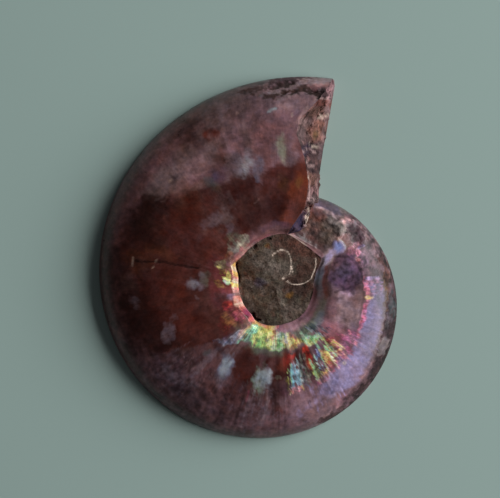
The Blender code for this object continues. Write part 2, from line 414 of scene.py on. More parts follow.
def hues(table, angle):  # the colour at each angle of a table of (angle, shade)
    at, colours = [place for place, _ in table], np.array([linear(shade) for _, shade in table])
    return np.column_stack([np.interp(angle, at, column) for column in colours.T])


# The shell's ground colour along the whorl, away from any marking
groundShades = (
    (60, "mauve"), (98, "mauve"), (108, "greyMauve"), (119, "brownMauve"), (127, "paleMauve"),
    (137, "paleMauve"), (146, "brownMauve"), (160, "umberMauve"), (190, "umberMauve"), (206, "umberMauve"),
    (214, "duskMauve"), (236, "reddishMauve"), (250, "reddishMauve"), (268, "reddishMauve"),
    (276, "duskMauve"), (284, "mauve"), (302, "rosyMauve"), (330, "mauve"), (372, "mauve"),
    (385, "rosyMauve"), (400, "greyMauve"), (432, "greyMauve"),
)

# Wide areas: name, shade, strength, lower line, upper line, edge, stray. A line is (along, across) points
redLine = (
    (60, 0.47), (79, 0.465), (82, 0.455), (85, 0.435), (92, 0.43), (95, 0.42), (96.3, 0.375), (97.5, 0.345),
    (99, 0.39), (102, 0.42), (105, 0.44), (110, 0.465), (115, 0.455), (119, 0.46), (121.5, 0.5),
    (125, 0.515), (128, 0.55), (131, 0.59), (134, 0.625), (138, 0.66), (140.5, 0.72), (143, 0.8),
    (147, 0.855), (152, 0.88), (160, 0.9), (170, 0.93), (180, 0.94), (200, 0.935), (205, 0.91),
    (207.5, 0.8), (208.5, 0.7), (210.5, 0.6), (213, 0.5), (218, 0.36), (220, 0.28), (224, 0.17),
    (228, 0.06), (231, 0.0),
)
rimLine = ((60, -0.1), (231, -0.1))
areas = (
    ("red field", "deepRed", 1.0, rimLine, redLine, 0.025, 0.5),
    ("dark outer part of it", "nearBlack", 0.72,
     ((139, 0.7), (146, 0.66), (152, 0.68), (160, 0.74), (166, 0.84), (172, 0.8), (180, 0.72),
      (190, 0.63), (200, 0.6), (208, 0.62)),
     ((139, 0.72), (146, 0.84), (158, 0.89), (170, 0.95), (178, 0.92), (185, 0.91), (195, 0.925),
      (208, 0.9)), 0.1, 1.1),
    # The lavender band: the shell's lilac nacre with a painted sheen of the light in it
    ("lavender band", "lavender", 1.0,
     ((284, 0.8), (290, 0.76), (296, 0.69), (302, 0.655), (310, 0.63), (320, 0.63), (330, 0.63),
      (340, 0.65), (350, 0.66), (360, 0.69), (369, 0.72)),
     ((284, 0.82), (290, 0.81), (297, 0.835), (305, 0.85), (315, 0.865), (330, 0.845), (345, 0.84),
      (360, 0.84), (369, 0.83)), 0.05, 0.6),
    ("worn outer rim", "plumBrown", 0.9,
     ((288, 0.995), (297, 0.965), (303, 0.93), (310, 0.9), (320, 0.885), (330, 0.88), (340, 0.87),
      (350, 0.885), (357, 0.91), (363, 0.95), (372, 0.985)), ((288, 1.1), (372, 1.1)), 0.03, 0.7),
)

# Soft patches: name, shade, strength, along, across, lean, edge, stray
patches = (
    # the top, by the broken mouth
    ("pink-grey shell at the mouth", "lightMauve", 0.5, (80, 91), (0.77, 0.885), 0, 0.5, 0.7),
    ("pale strip at the mouth", "rosePale", 0.5, (78, 85), (0.945, 1.01), 0, 0.3, 0.5),
    ("shadow in it", "plum", 0.5, (82, 88), (0.72, 0.79), 0, 0.6, 0.6),
    ("rose zone", "rosyMauve", 0.6, (83, 97), (0.5, 0.74), 0, 0.5, 0.9),
    ("redder rose", "roseBrown", 0.55, (90, 99), (0.55, 0.72), 0, 0.5, 0.8),
    ("rust along the break", "rust", 0.35, (78.6, 81), (0.44, 0.7), 8, 0.5, 0.4),
    ("rose gap between clouds", "roseBrown", 0.7, (90, 95.5), (0.43, 0.55), 0, 0.5, 0.5),
    ("speckled grey", "brownMauve", 0.7, (97, 108), (0.8, 0.96), 0, 0.5, 1.0),
    ("brown rim", "brownMauve", 0.6, (90, 116), (0.93, 1.01), 0, 0.5, 0.9),
    ("rosy light", "rosyMauve", 0.75, (102, 109.5), (0.57, 0.73), 0, 0.5, 0.8),
    ("rust spot", "rust", 0.95, (110, 114.8), (0.73, 0.815), 20, 0.28, 0.4),
    ("rust patch", "rust", 0.6, (109, 116), (0.56, 0.665), -14, 0.45, 0.7),
    ("plum patch", "plum", 0.75, (112, 120.5), (0.465, 0.57), 0, 0.5, 0.6),
    ("slate spot in it", "slate", 0.6, (116, 120), (0.5, 0.58), 0, 0.5, 0.5),
    ("dark brown patch", "umber", 0.85, (113.5, 125), (0.84, 0.95), 0, 0.45, 1.2),
    ("brown outer zone", "umberMauve", 0.7, (118, 152), (0.86, 1.01), 0, 0.5, 1.4),
    ("its tail", "umber", 0.45, (122, 134), (0.785, 0.86), 0, 0.5, 0.9),
    ("light grey", "paleMauve", 0.55, (111, 119), (0.63, 0.75), -20, 0.5, 0.8),
    ("faint plum spots", "plum", 0.6, (120, 127), (0.575, 0.61), 0, 0.5, 0.6),
    ("light lobe", "lightMauve", 0.6, (119, 138), (0.6, 0.81), 22, 0.45, 1.0),
    ("rosy strip by the field", "rosyMauve", 0.6, (123, 139), (0.57, 0.66), 50, 0.4, 0.5),
    ("slate spot", "darkPlum", 0.85, (131.2, 134.4), (0.675, 0.735), 0, 0.35, 0.3),
    ("pale flecked edge", "paleMauve", 0.5, (130, 143), (0.7, 0.83), 30, 0.5, 0.9),
    ("brown by the dark field", "umberMauve", 0.7, (139, 156), (0.88, 0.99), 20, 0.5, 1.0),
    # The outer edge's rosy mauve, lifted by painted light where the steep edge turns from the light
    ("worn light along the edge", "rosyMauve", 0.6, (124, 160), (0.82, 1.03), 10, 0.5, 1.3),
    ("worn light along the edge", "roseBrown", 0.6, (150, 200), (0.87, 1.03), 0, 0.5, 1.3),
    ("brown flecks in it", "umber", 0.5, (158, 190), (0.93, 1.02), 0, 0.6, 1.4),
    ("worn light at the bottom", "rosyMauve", 0.65, (202, 252), (0.76, 1.03), 0, 0.5, 1.4),
    ("worn light at the bottom", "rosyMauve", 0.6, (250, 306), (0.8, 1.03), 0, 0.5, 1.4),
    ("rosy light above it", "rosyMauve", 0.6, (262, 292), (0.6, 0.86), 0, 0.5, 0.9),
    # inside the red field
    ("lighter red by the mouth", "brickRed", 0.95, (66, 84), (0.0, 0.47), -10, 0.45, 0.5),
    ("rosy brown by the hollow", "roseBrown", 0.45, (70, 82), (0.04, 0.26), 0, 0.6, 0.4),
    ("its dark foot", "darkRed", 0.5, (82, 92), (0.1, 0.24), 0, 0.6, 0.6),
    ("olive glints", "olive", 0.3, (76.5, 80), (0.29, 0.38), 0, 0.6, 0.5),
    ("olive glints", "olive", 0.22, (84.5, 89.5), (0.29, 0.38), 0, 0.6, 0.6),
    ("red glow", "warmRed", 0.35, (84, 99), (0.22, 0.42), 0, 0.6, 0.9),
    ("darker red", "darkRed", 0.7, (99, 122), (0.3, 0.46), 0, 0.6, 1.0),
    ("dark above the rim", "darkRed", 0.75, (84, 122), (0.05, 0.24), 0, 0.6, 1.0),
    ("dusty red", "umberMauve", 0.35, (88, 116), (0.2, 0.32), 0, 0.6, 1.2),
    ("mauve veil on the red", "reddishMauve", 0.6, (116, 131), (0.27, 0.47), -20, 0.5, 1.0),
    ("green shade", "dullGreen", 0.25, (118.5, 122.5), (0.42, 0.5), 0, 0.5, 0.4),
    ("plain red", "warmRed", 0.22, (126, 158), (0.36, 0.62), 20, 0.6, 1.2),
    ("lighter red", "warmRed", 0.4, (130, 152), (0.1, 0.28), 0, 0.6, 0.9),
    ("amber brown", "amber", 0.35, (157, 165), (0.46, 0.66), 0, 0.6, 1.0),
    ("amber brown", "amber", 0.3, (164, 172), (0.6, 0.82), 0, 0.6, 1.1),
    ("brown shade", "brownBlack", 0.6, (148, 160), (0.56, 0.74), 0, 0.6, 1.2),
    ("warm middle", "warmRed", 0.35, (168, 196), (0.36, 0.62), 0, 0.6, 1.2),
    ("warm brown", "warmRed", 0.4, (196, 219), (0.3, 0.52), 0, 0.6, 1.0),
    ("dark outer gap", "darkRed", 0.5, (172, 196), (0.6, 0.72), 0, 0.6, 1.2),
    ("maroon by the rim", "maroon", 0.55, (169, 199), (0.03, 0.22), 0, 0.5, 0.6),
    ("dark dusty strip", "umberMauve", 0.4, (176, 216), (0.22, 0.34), 0, 0.6, 0.9),
    # the bottom
    ("brown field's end", "umber", 0.5, (205, 222), (0.3, 0.6), 0, 0.6, 1.0),
    ("plum wisps", "plum", 0.5, (208, 226), (0.66, 0.86), 0, 0.5, 1.2),
    ("lilac in them", "cloudMauve", 0.4, (212, 224), (0.7, 0.82), 0, 0.5, 1.2),
    ("rosy patch", "rosyMauve", 0.4, (219, 231), (0.58, 0.78), 0, 0.5, 0.9),
    ("dark rim of the bottom", "umber", 0.35, (206, 246), (0.88, 1.02), 0, 0.5, 1.4),
    ("dark patch", "darkPlum", 0.7, (221, 230), (0.74, 0.86), 0, 0.5, 0.8),
    ("rosy brown", "roseBrown", 0.3, (229, 243), (0.52, 0.72), 0, 0.5, 1.0),
    ("dark between clouds", "darkRed", 0.7, (221, 231), (0.28, 0.44), 0, 0.5, 0.6),
    ("dark red above the lobes", "deepRed", 0.5, (243, 262), (0.52, 0.72), 0, 0.5, 1.0),
    ("first dark lobe", "deepRed", 1.0, (238.5, 256.5), (0.18, 0.54), 8, 0.16, 0.45),
    ("darker side of it", "darkRed", 0.6, (240, 248), (0.22, 0.46), 0, 0.5, 0.6),
    ("second dark lobe", "deepRed", 1.0, (260, 283), (0.19, 0.5), -12, 0.14, 0.4),
    ("warm side of it", "warmRed", 0.8, (271, 281), (0.23, 0.44), -14, 0.5, 0.5),
    ("red in it", "brightRed", 0.35, (275, 281), (0.24, 0.4), -14, 0.5, 0.4),
    ("dark foot of it", "darkRed", 0.8, (265.5, 276), (0.42, 0.66), 0, 0.5, 0.5),
    ("dark gap of the lobes", "darkRed", 0.7, (255, 262.5), (0.2, 0.38), 0, 0.4, 0.4),
    ("third dark lobe", "deepRed", 0.95, (285, 300), (0.25, 0.42), 0, 0.3, 0.35),
    ("dark gap", "darkRed", 0.85, (290, 294.5), (0.3, 0.62), 4, 0.3, 0.3),
    ("dark stripe", "darkRed", 0.8, (266.5, 271.5), (0.55, 0.82), 0, 0.4, 0.4),
    ("dark stripe", "darkUmber", 0.6, (251.5, 254), (0.6, 0.9), 0, 0.5, 0.4),
    ("dark stripe", "darkUmber", 0.5, (244, 247.5), (0.6, 0.95), 0, 0.5, 0.5),
    ("mauve outer part", "rosyMauve", 0.5, (274, 301), (0.66, 0.97), 0, 0.4, 1.0),
    ("lilac outer part", "cloudMauve", 0.35, (276, 287), (0.7, 0.9), 0, 0.5, 0.8),
    ("dusky outer part", "duskMauve", 0.6, (254, 264), (0.74, 0.97), 0, 0.5, 0.9),
    ("small dark spot", "darkPlum", 0.7, (285.6, 287.2), (0.75, 0.785), 0, 0.4, 0.2),
    ("brown spot", "umber", 0.6, (281.5, 284), (0.885, 0.91), 0, 0.4, 0.3),
    ("rosy outer edge", "rosePale", 0.3, (285, 300), (0.78, 0.96), 0, 0.5, 1.0),
    # the right
    ("dull ground of the fire", "dullGreen", 0.7, (226, 322), (-0.04, 0.25), 0, 0.3, 0.5),
    ("mauve slope", "rosyMauve", 0.9, (266, 306), (-0.06, 0.1), 0, 0.35, 0.3),
    ("its darker end", "mauve", 0.8, (300, 350), (-0.08, 0.1), 0, 0.35, 0.3),
    ("rosy slope", "lightMauve", 0.5, (272, 300), (0.03, 0.09), 0, 0.5, 0.3),
    ("plum spot", "darkPlum", 0.6, (308, 315), (-0.02, 0.04), 0, 0.5, 0.3),
    ("dark ground of the fans", "darkUmber", 0.6, (292, 317), (0.31, 0.57), 0, 0.35, 0.5),
    ("red brown ground", "roseBrown", 0.85, (314, 338), (0.22, 0.62), 0, 0.35, 0.6),
    ("rust in it", "rust", 0.55, (316, 330), (0.26, 0.46), 0, 0.5, 0.5),
    ("brown slope", "brownMauve", 0.6, (322, 392), (-0.02, 0.2), 0, 0.3, 0.4),
    ("grey-green slope", "dullGreen", 0.55, (312, 352), (0.09, 0.21), 0, 0.5, 0.45),
    ("its far end", "teal", 0.45, (350, 392), (0.05, 0.12), 6, 0.5, 0.4),
    ("teal in it", "steelBlue", 0.3, (316, 338), (0.13, 0.22), 0, 0.5, 0.4),
    ("purple glint in it", "plum", 0.6, (381, 390), (0.05, 0.11), 0, 0.5, 0.3),
    ("dark foot of the slope", "umberMauve", 0.8, (346, 392), (-0.06, 0.06), 0, 0.4, 0.3),
    ("teal in the slope", "teal", 0.6, (372, 394), (0.0, 0.12), 0, 0.5, 0.4),
    ("red specks in it", "maroon", 0.5, (344, 366), (0.0, 0.05), 0, 0.5, 0.4),
    ("rust strip", "rust", 0.75, (350, 394), (0.13, 0.2), 0, 0.4, 0.35),
    ("brown strip", "umberMauve", 0.7, (354, 388), (0.17, 0.24), 0, 0.4, 0.35),
    ("tan chamber", "tan", 0.95, (334, 368), (0.24, 0.63), 14, 0.28, 0.35),
    ("its light heart", "paleMauve", 0.6, (336, 350), (0.34, 0.58), 0, 0.6, 0.6),
    ("its brown half", "umberMauve", 0.55, (350, 366), (0.44, 0.62), 14, 0.4, 0.6),
    ("rosy brown in it", "roseBrown", 0.75, (334, 354), (0.21, 0.34), 0, 0.5, 0.5),
    ("lilac cloud in it", "lightMauve", 0.8, (351, 364), (0.32, 0.46), 20, 0.8, 1.3),
    ("dark purple chamber", "plum", 0.95, (361, 391.5), (0.21, 0.63), 0, 0.14, 0.25),
    ("its dark side", "darkPlum", 0.6, (362, 373), (0.4, 0.62), 14, 0.5, 0.5),
    ("its lit heart", "slate", 0.55, (371, 385), (0.28, 0.52), 0, 0.6, 0.6),
    ("brown in its corner", "umberMauve", 0.6, (380, 392), (0.22, 0.36), 0, 0.5, 0.5),
    ("rose-brown outer corner", "roseBrown", 0.8, (388, 402), (0.5, 0.72), 0, 0.4, 0.5),
    ("its pale middle", "rosePale", 0.45, (391, 400), (0.52, 0.66), 0, 0.6, 0.5),
    ("mottled corner", "duskMauve", 0.95, (366, 404), (0.66, 1.04), 0, 0.3, 0.9),
    ("light in it", "mauve", 0.6, (374, 390), (0.7, 0.84), 0, 0.5, 1.0),
    ("dusk in it", "plumBrown", 0.6, (372, 392), (0.84, 0.94), 0, 0.5, 1.0),
    ("light beyond it", "mauve", 0.7, (388, 408), (0.88, 1.0), 0, 0.5, 1.0),
    ("dark purple patch", "darkPlum", 0.95, (391.5, 400.5), (0.7, 0.89), -10, 0.4, 0.6),
    ("pale flake by it", "lightMauve", 0.8, (389, 394), (0.84, 0.92), 0, 0.5, 0.7),
    ("pale flake beyond it", "lightMauve", 0.8, (400, 407), (0.66, 0.76), 0, 0.5, 0.7),
    ("dark flake beyond it", "darkPlum", 0.7, (404, 411), (0.6, 0.68), 0, 0.5, 0.7),
    ("dark flake", "plumBrown", 0.6, (402, 410), (0.9, 0.98), 0, 0.5, 0.8),
    ("dusk at the very edge", "darkUmber", 0.7, (316, 372), (0.955, 1.04), 0, 0.4, 0.5),
    ("brown stone", "brownStone", 1.0, (399.5, 436), (0.17, 0.66), 10, 0.2, 0.5),
    ("pink-tan stone by the septum", "rosePale", 0.8, (397.5, 405), (0.3, 0.52), 0, 0.5, 0.4),
    ("grey stone", "stone", 0.6, (399, 414), (0.24, 0.5), 0, 0.5, 0.6),
    ("reddish foot of it", "roseBrown", 0.5, (408, 432), (0.14, 0.24), 0, 0.5, 0.5),
    ("light lump in it", "paleStone", 0.7, (409, 415), (0.29, 0.39), 0, 0.5, 0.4),
    ("lighter stone", "paleStone", 0.85, (400, 416), (0.5, 0.88), -24, 0.45, 0.7),
    ("pinkish stone", "rosePale", 0.4, (404, 413), (0.72, 0.9), 0, 0.5, 0.6),
    ("rust in the stone", "rust", 0.75, (415, 430), (0.52, 0.76), 0, 0.45, 0.6),
    ("lilac shell under the mouth", "slate", 0.7, (411, 432), (0.8, 1.0), 0, 0.3, 0.5),
    ("brown in it", "umberMauve", 0.5, (418, 428), (0.86, 1.0), 0, 0.5, 0.5),
    ("pale grey beside it", "lightMauve", 0.7, (402, 426), (0.77, 0.85), -30, 0.4, 0.5),
)

# Lines: name, shade, strength, width in mm, edge, stray, route of (along, across) points
streaks = (
    ("dark streak along the edge", "umber", 0.8, 0.4, 0.5, 0.4, ((100, 0.995), (94, 0.985))),
    ("white fleck", "ice", 0.8, 0.45, 0.5, 0.15, ((92.2, 0.797), (90.4, 0.806))),
    ("cream fleck", "cream", 0.3, 0.3, 0.5, 0.1, ((85.2, 0.765), (84.9, 0.75))),
    ("pale fleck", "lightMauve", 0.7, 0.5, 0.5, 0.3, ((83.6, 0.86), (83.0, 0.83))),
    ("pale scratch", "rosePale", 0.6, 0.25, 0.5, 0.2, ((102.6, 0.85), (101.6, 0.825), (102.8, 0.83))),
    ("cream fleck", "cream", 0.4, 0.35, 0.5, 0.2, ((134.2, 0.717), (133.5, 0.712))),
    ("pale scratch", "paleMauve", 0.5, 0.3, 0.5, 0.4, ((137, 0.69), (140.5, 0.7), (142.6, 0.725))),
    ("pale scratch", "paleMauve", 0.35, 0.3, 0.5, 0.4, ((139, 0.665), (141.8, 0.68))),
    ("pale scratch", "rosePale", 0.25, 0.25, 0.5, 0.2, ((101, 0.26), (104, 0.235))),
    ("pale broken rim", "rosePale", 0.85, 0.45, 0.5, 0.3,
     ((78.4, 0.86), (80.4, 0.8), (82.3, 0.75), (83.1, 0.71))),
    ("mauve slope at the rim", "rosyMauve", 0.7, 2.4, 0.6, 0.4,
     ((78, 0.02), (90, 0.03), (101, 0.03), (112, 0.025), (130, 0.02), (145, 0.02))),
    ("its lit edge", "roseLight", 0.85, 1.2, 0.5, 0.3,
     ((74, 0.0), (84, 0.008), (96, 0.01), (110, 0.01), (125, 0.01), (146, 0.01))),
    ("its rosy foot", "roseBrown", 0.6, 1.2, 0.6, 0.4, ((132, 0.03), (140, 0.05), (150, 0.03))),
    ("plum along the rim", "plum", 0.5, 0.8, 0.6, 0.3, ((80, 0.06), (90, 0.075), (101, 0.06))),
    ("rosy fringe", "magenta", 0.3, 0.5, 0.6, 0.3, ((97, 0.005), (110, 0.008), (121, 0.012))),
    ("pale line", "lightMauve", 0.5, 0.35, 0.6, 0.2,
     ((265, 0.57), (265.2, 0.66), (264.6, 0.78), (263, 0.88))),
    ("pale line", "lightMauve", 0.4, 0.3, 0.6, 0.2, ((261.6, 0.6), (261, 0.72))),
    ("rose line", "magenta", 0.3, 0.3, 0.6, 0.2, ((254.4, 0.6), (254.8, 0.68))),
    ("rust spot", "rust", 0.5, 1.2, 0.6, 0.5, ((270.5, 0.76), (271.4, 0.8))),
    ("ochre line", "amber", 0.6, 0.9, 0.6, 0.5, ((351, 0.868), (358, 0.872), (364, 0.895), (369, 0.94))),
    ("rust line", "rust", 0.45, 0.7, 0.6, 0.4, ((369, 0.94), (378, 0.9))),
    ("chamber wall", "darkPlum", 0.7, 0.4, 0.5, 0.25,
     ((359.5, 0.27), (363, 0.4), (365.5, 0.52), (367.6, 0.63))),
    ("dark arc", "darkPlum", 0.85, 0.42, 0.45, 0.25,
     ((391.5, 0.3), (388.5, 0.42), (385.5, 0.53), (381, 0.59), (374, 0.625), (368, 0.635))),
    ("dark arc over the chamber", "umber", 0.4, 0.35, 0.5, 0.2,
     ((366, 0.625), (356, 0.605), (346, 0.59), (338, 0.575))),
    ("dark red arc", "darkRed", 0.3, 0.4, 0.5, 0.2, ((358, 0.225), (348, 0.21), (340, 0.215), (334, 0.25))),
    ("ground of the seam", "umberMauve", 0.8, 2.6, 0.5, 0.3,
     ((436, 0.04), (426, 0.06), (416, 0.08), (406, 0.1))),
    ("rose seam over the umbilicus", "roseLight", 0.85, 0.9, 0.4, 0.25,
     ((438, 0.03), (430, 0.01), (422, 0.01), (414, 0.02), (407, 0.035), (400, 0.06))),
    ("dark line in it", "umberMauve", 0.6, 0.3, 0.5, 0.15,
     ((430, 0.035), (422, 0.035), (414, 0.05), (407, 0.07))),
    ("its lit edge", "cream", 0.6, 0.24, 0.5, 0.12, ((437, 0.02), (431, 0.0), (424, 0.0), (417, 0.01))),
    ("its upper lit edge", "rosePale", 0.6, 0.22, 0.5, 0.12,
     ((434, 0.05), (427, 0.06), (420, 0.06), (412, 0.07))),
)

# Flakes off the outer layer at the mouth, with ragged edges: shade, strength, relief in mm, along, across
flakesOff = (
    ("greyMauve", 0.7, -0.03, (80, 94), (0.88, 1.0)),
    ("plumBrown", 0.9, -0.06, (80, 92), (0.972, 1.03)),
    ("darkUmber", 0.95, -0.08, (85.5, 92.5), (0.955, 0.988)),
    ("umber", 0.95, -0.08, (86, 93), (0.89, 0.93)),
    ("umber", 1.0, -0.1, (79.5, 88.5), (0.895, 0.945)),
    ("darkUmber", 1.0, -0.1, (74, 82.5), (0.865, 0.93)),
    ("umber", 0.8, -0.06, (92, 101), (0.93, 0.965)),
    ("lightMauve", 0.9, 0.02, (73, 82.5), (0.945, 0.99)),
    ("roseLight", 0.7, 0.02, (76, 81), (0.935, 0.96)),
    ("mauve", 0.9, 0.0, (79, 88), (0.8, 0.875)),
    ("paleMauve", 0.6, 0.02, (84.6, 87.8), (0.883, 0.903)),
    # and off the worn rim at the right
    ("umber", 0.7, -0.03, (286, 303), (0.955, 1.03)),
    ("darkUmber", 0.8, -0.04, (304, 317), (0.94, 1.02)),
    ("darkUmber", 0.9, -0.05, (319, 331), (0.92, 1.02)),
    ("greyMauve", 0.9, 0.02, (328, 337), (0.885, 0.955)),
    ("darkUmber", 0.9, -0.04, (339, 352), (0.915, 1.0)),
    ("cloudMauve", 0.6, 0.0, (343, 350), (0.89, 0.95)),
    ("ochre", 0.5, 0.0, (351, 371), (0.865, 0.905)),
    ("umber", 0.8, -0.03, (366, 384), (0.87, 1.0)),
    ("duskMauve", 0.8, 0.0, (374, 392), (0.66, 0.84)),
    ("mauve", 0.8, 0.0, (380, 393), (0.84, 0.97)),
    ("plumBrown", 0.95, -0.05, (390, 402.5), (0.7, 0.9)),
    ("roseLight", 0.4, 0.0, (383, 391), (0.66, 0.78)),
    ("roseLight", 0.6, 0.02, (402, 409), (0.78, 0.9)),
    ("darkStone", 0.45, -0.01, (404, 411), (0.58, 0.68)),
    ("paleStone", 0.7, 0.0, (402, 410), (0.66, 0.76)),
    ("plumBrown", 0.6, -0.03, (400, 409), (0.9, 1.0)),
)

# Clouds in the shell, seen through it: name, shade, strength, along, across, lean, edge, stray
clouds = (
    ("pale green streak", "paleSage", 0.95, (86, 90), (0.45, 0.64), 10, 0.55, 0.4),
    ("its soft side", "cloudMauve", 0.45, (89.4, 92.6), (0.43, 0.62), 0, 0.5, 0.4),
    ("grey beside them", "cloudMauve", 0.6, (80.5, 85.6), (0.43, 0.53), 0, 0.5, 0.5),
    ("faint streak", "cloudMauve", 0.35, (83.5, 86.2), (0.52, 0.62), 0, 0.5, 0.5),
    ("slate cloud", "steelBlue", 0.5, (95.8, 100.6), (0.36, 0.54), -10, 0.5, 0.5),
    ("blue-white cloud", "cloudBlue", 0.6, (99, 108), (0.42, 0.6), -26, 0.5, 0.6),
    ("its bright heart", "ice", 0.35, (100.5, 105), (0.45, 0.54), -30, 0.5, 0.5),
    ("its faint end", "cloudMauve", 0.4, (105, 112), (0.48, 0.62), 0, 0.5, 0.6),
    ("teal cloud", "teal", 0.55, (119, 124), (0.47, 0.58), 0, 0.5, 0.5),
    ("cloud in the red", "cloudMauve", 0.5, (123.5, 130), (0.15, 0.23), 0, 0.5, 0.6),
    ("cloud in the red", "greyMauve", 0.5, (121, 133), (0.22, 0.33), 40, 0.5, 0.8),
    ("brighter streak of it", "cloudMauve", 0.5, (125, 140), (0.27, 0.37), 60, 0.6, 0.7),
    ("faint cloud", "greyMauve", 0.35, (114, 126), (0.26, 0.42), 0, 0.6, 0.9),
    ("grey by the fire", "dullGreen", 0.5, (164, 175), (0.2, 0.27), 0, 0.5, 0.6),
    ("small cloud", "cloudMauve", 0.5, (164.5, 170.5), (0.225, 0.29), 0, 0.5, 0.4),
    ("round cloud", "cloudMauve", 0.7, (169.5, 178.8), (0.25, 0.375), 14, 0.5, 0.5),
    ("its bright dabs", "cloudBlue", 0.5, (171, 177), (0.28, 0.35), 0, 0.5, 0.4),
    ("faint dab", "cloudMauve", 0.4, (182.5, 187), (0.3, 0.34), 0, 0.5, 0.4),
    ("wisps", "cloudMauve", 0.35, (191, 198), (0.48, 0.56), 20, 0.5, 0.8),
    ("lavender wisps", "cloudMauve", 0.7, (196.4, 205), (0.555, 0.665), 26, 0.5, 0.7),
    ("wisp", "cloudMauve", 0.45, (182, 187.5), (0.73, 0.82), -30, 0.5, 0.6),
    ("faint wisp", "brownMauve", 0.55, (171, 180), (0.74, 0.87), 20, 0.5, 0.9),
    ("cool spot by the rim", "lilac", 0.35, (180.5, 188.5), (0.035, 0.09), 0, 0.5, 0.4),
    ("grey tail of the fire", "slate", 0.7, (222, 232.5), (0.12, 0.31), -60, 0.4, 0.5),
    ("light in it", "cloudMauve", 0.6, (224, 231), (0.15, 0.29), -60, 0.5, 0.5),
    ("dark under it", "darkPlum", 0.5, (219, 232), (0.33, 0.4), -40, 0.5, 0.4),
    ("teal wisp", "teal", 0.75, (219.4, 223.4), (0.42, 0.5), 0, 0.5, 0.4),
    ("lilac wisps", "cloudMauve", 0.6, (222.6, 226.4), (0.36, 0.66), 0, 0.5, 0.4),
    ("plum wisp", "cloudMauve", 0.4, (227.5, 231), (0.3, 0.44), 0, 0.5, 0.5),
    ("wisp", "cloudMauve", 0.45, (212, 219), (0.7, 0.82), 20, 0.5, 0.8),
    ("wisp", "cloudMauve", 0.4, (226, 230), (0.7, 0.78), -20, 0.5, 0.5),
    ("wisp", "cloudMauve", 0.4, (236.5, 240.5), (0.6, 0.66), 10, 0.5, 0.4),
    ("blue cloud", "steelBlue", 0.85, (231.8, 239.8), (0.335, 0.565), 12, 0.4, 0.4),
    ("its rosy end", "cloudMauve", 0.5, (232, 243), (0.5, 0.62), 0, 0.5, 0.6),
    ("its bright middle", "cloudBlue", 0.6, (233, 239), (0.36, 0.52), 12, 0.7, 0.7),
    ("its icy specks", "ice", 0.3, (233.4, 238), (0.38, 0.5), 12, 0.6, 0.8),
    ("green-grey cloud", "seaGreen", 0.5, (254.5, 262.5), (0.38, 0.6), 10, 0.5, 0.5),
    ("its lilac side", "cloudMauve", 0.7, (257, 266.5), (0.38, 0.56), 6, 0.45, 0.5),
    ("its bright flecks", "cloudBlue", 0.4, (256, 265.4), (0.39, 0.57), 0, 0.7, 0.7),
    ("its icy specks", "ice", 0.35, (257, 265), (0.41, 0.54), 0, 0.6, 0.9),
    ("its foot", "dullGreen", 0.3, (258, 261.5), (0.3, 0.4), 0, 0.5, 0.3),
    ("small green streak", "paleSage", 0.25, (268.5, 274), (0.46, 0.5), 30, 0.5, 0.4),
    ("pale wisps", "cloudMauve", 0.4, (256, 259.5), (0.66, 0.88), 0, 0.5, 0.4),
    ("pale wisps", "cloudMauve", 0.4, (262, 266), (0.7, 0.9), 0, 0.5, 0.4),
    ("lilac wisp", "lavender", 0.4, (279, 283.5), (0.8, 0.88), 0, 0.5, 0.5),
    ("lilac glow", "lavender", 0.5, (294, 302), (0.66, 0.84), 0, 0.5, 0.6),
    ("dark streak in the lilac", "duskMauve", 0.5, (290, 294), (0.62, 0.72), 0, 0.5, 0.4),
    ("pale patch on the worn rim", "greyMauve", 0.8, (328.5, 336.5), (0.885, 0.955), 0, 0.4, 0.5),
    ("dark patches on the worn rim", "darkPlum", 0.8, (318, 329), (0.9, 0.99), 0, 0.4, 0.9),
    ("dark patches on the worn rim", "darkPlum", 0.8, (336, 352), (0.9, 0.99), 0, 0.4, 0.9),
    ("green-grey on the worn rim", "teal", 0.6, (348, 364), (0.93, 0.99), 0, 0.4, 0.8),
    ("light strip by the worn rim", "paleMauve", 0.6, (328, 352), (0.84, 0.88), 0, 0.4, 0.5),
    ("its pale foot", "lightMauve", 1.0, (389, 400), (0.05, 0.36), 4, 0.3, 0.25),
    ("lilac in its foot", "lilac", 0.7, (391.5, 398), (0.1, 0.34), 4, 0.4, 0.3),
    ("its pale end", "cloudBlue", 0.8, (391.8, 400.4), (0.46, 0.54), 0, 0.3, 0.25),
    ("lilac septum", "lavender", 1.0, (391.0, 401), (0.27, 0.51), -6, 0.25, 0.25),
    ("its blue heart", "periwinkle", 0.75, (393, 399.4), (0.32, 0.47), -6, 0.5, 0.25),
)

# The crescent of fire under the umbilicus, the shell's own play of colour with a painted reflection of the
# light in it: (along, shade) on its inner and its outer side, then its two lines
fireInside = (
    (216, "plum"), (219, "cloudMauve"), (223, "cloudBlue"), (226, "rosePale"), (230, "cream"), (234, "gold"),
    (237, "mint"), (241, "mint"), (245, "yellowGreen"), (248, "yellowGreen"), (252, "yellowGreen"),
    (255, "gold"), (258, "yellowGreen"), (261, "gold"), (265, "orange"), (269, "salmon"), (271, "paleSage"),
    (274, "mint"), (279, "seaGreen"), (282, "mint"), (285, "gold"), (288, "orange"), (292, "roseBrown"),
    (296, "olive"), (300, "seaGreen"), (303, "mint"), (307, "mint"), (310, "mint"), (317, "seaGreen"),
    (322, "teal"),
)
fireOutside = (
    (216, "plum"), (219, "slate"), (223, "steelBlue"), (228, "cloudBlue"), (232, "steelBlue"),
    (236, "seaGreen"), (240, "dullGreen"), (244, "leafGreen"), (247, "gold"), (250, "yellowGreen"),
    (255, "leafGreen"), (260, "yellowGreen"), (264, "seaGreen"), (268, "leafGreen"), (274, "leafGreen"),
    (278, "yellowGreen"), (281, "gold"), (284, "orange"), (287, "gold"), (291, "orange"), (294, "gold"),
    (297, "yellowGreen"), (301, "mint"), (305, "yellowGreen"), (308, "leafGreen"), (312, "mint"),
    (316, "seaGreen"), (322, "dullGreen"),
)
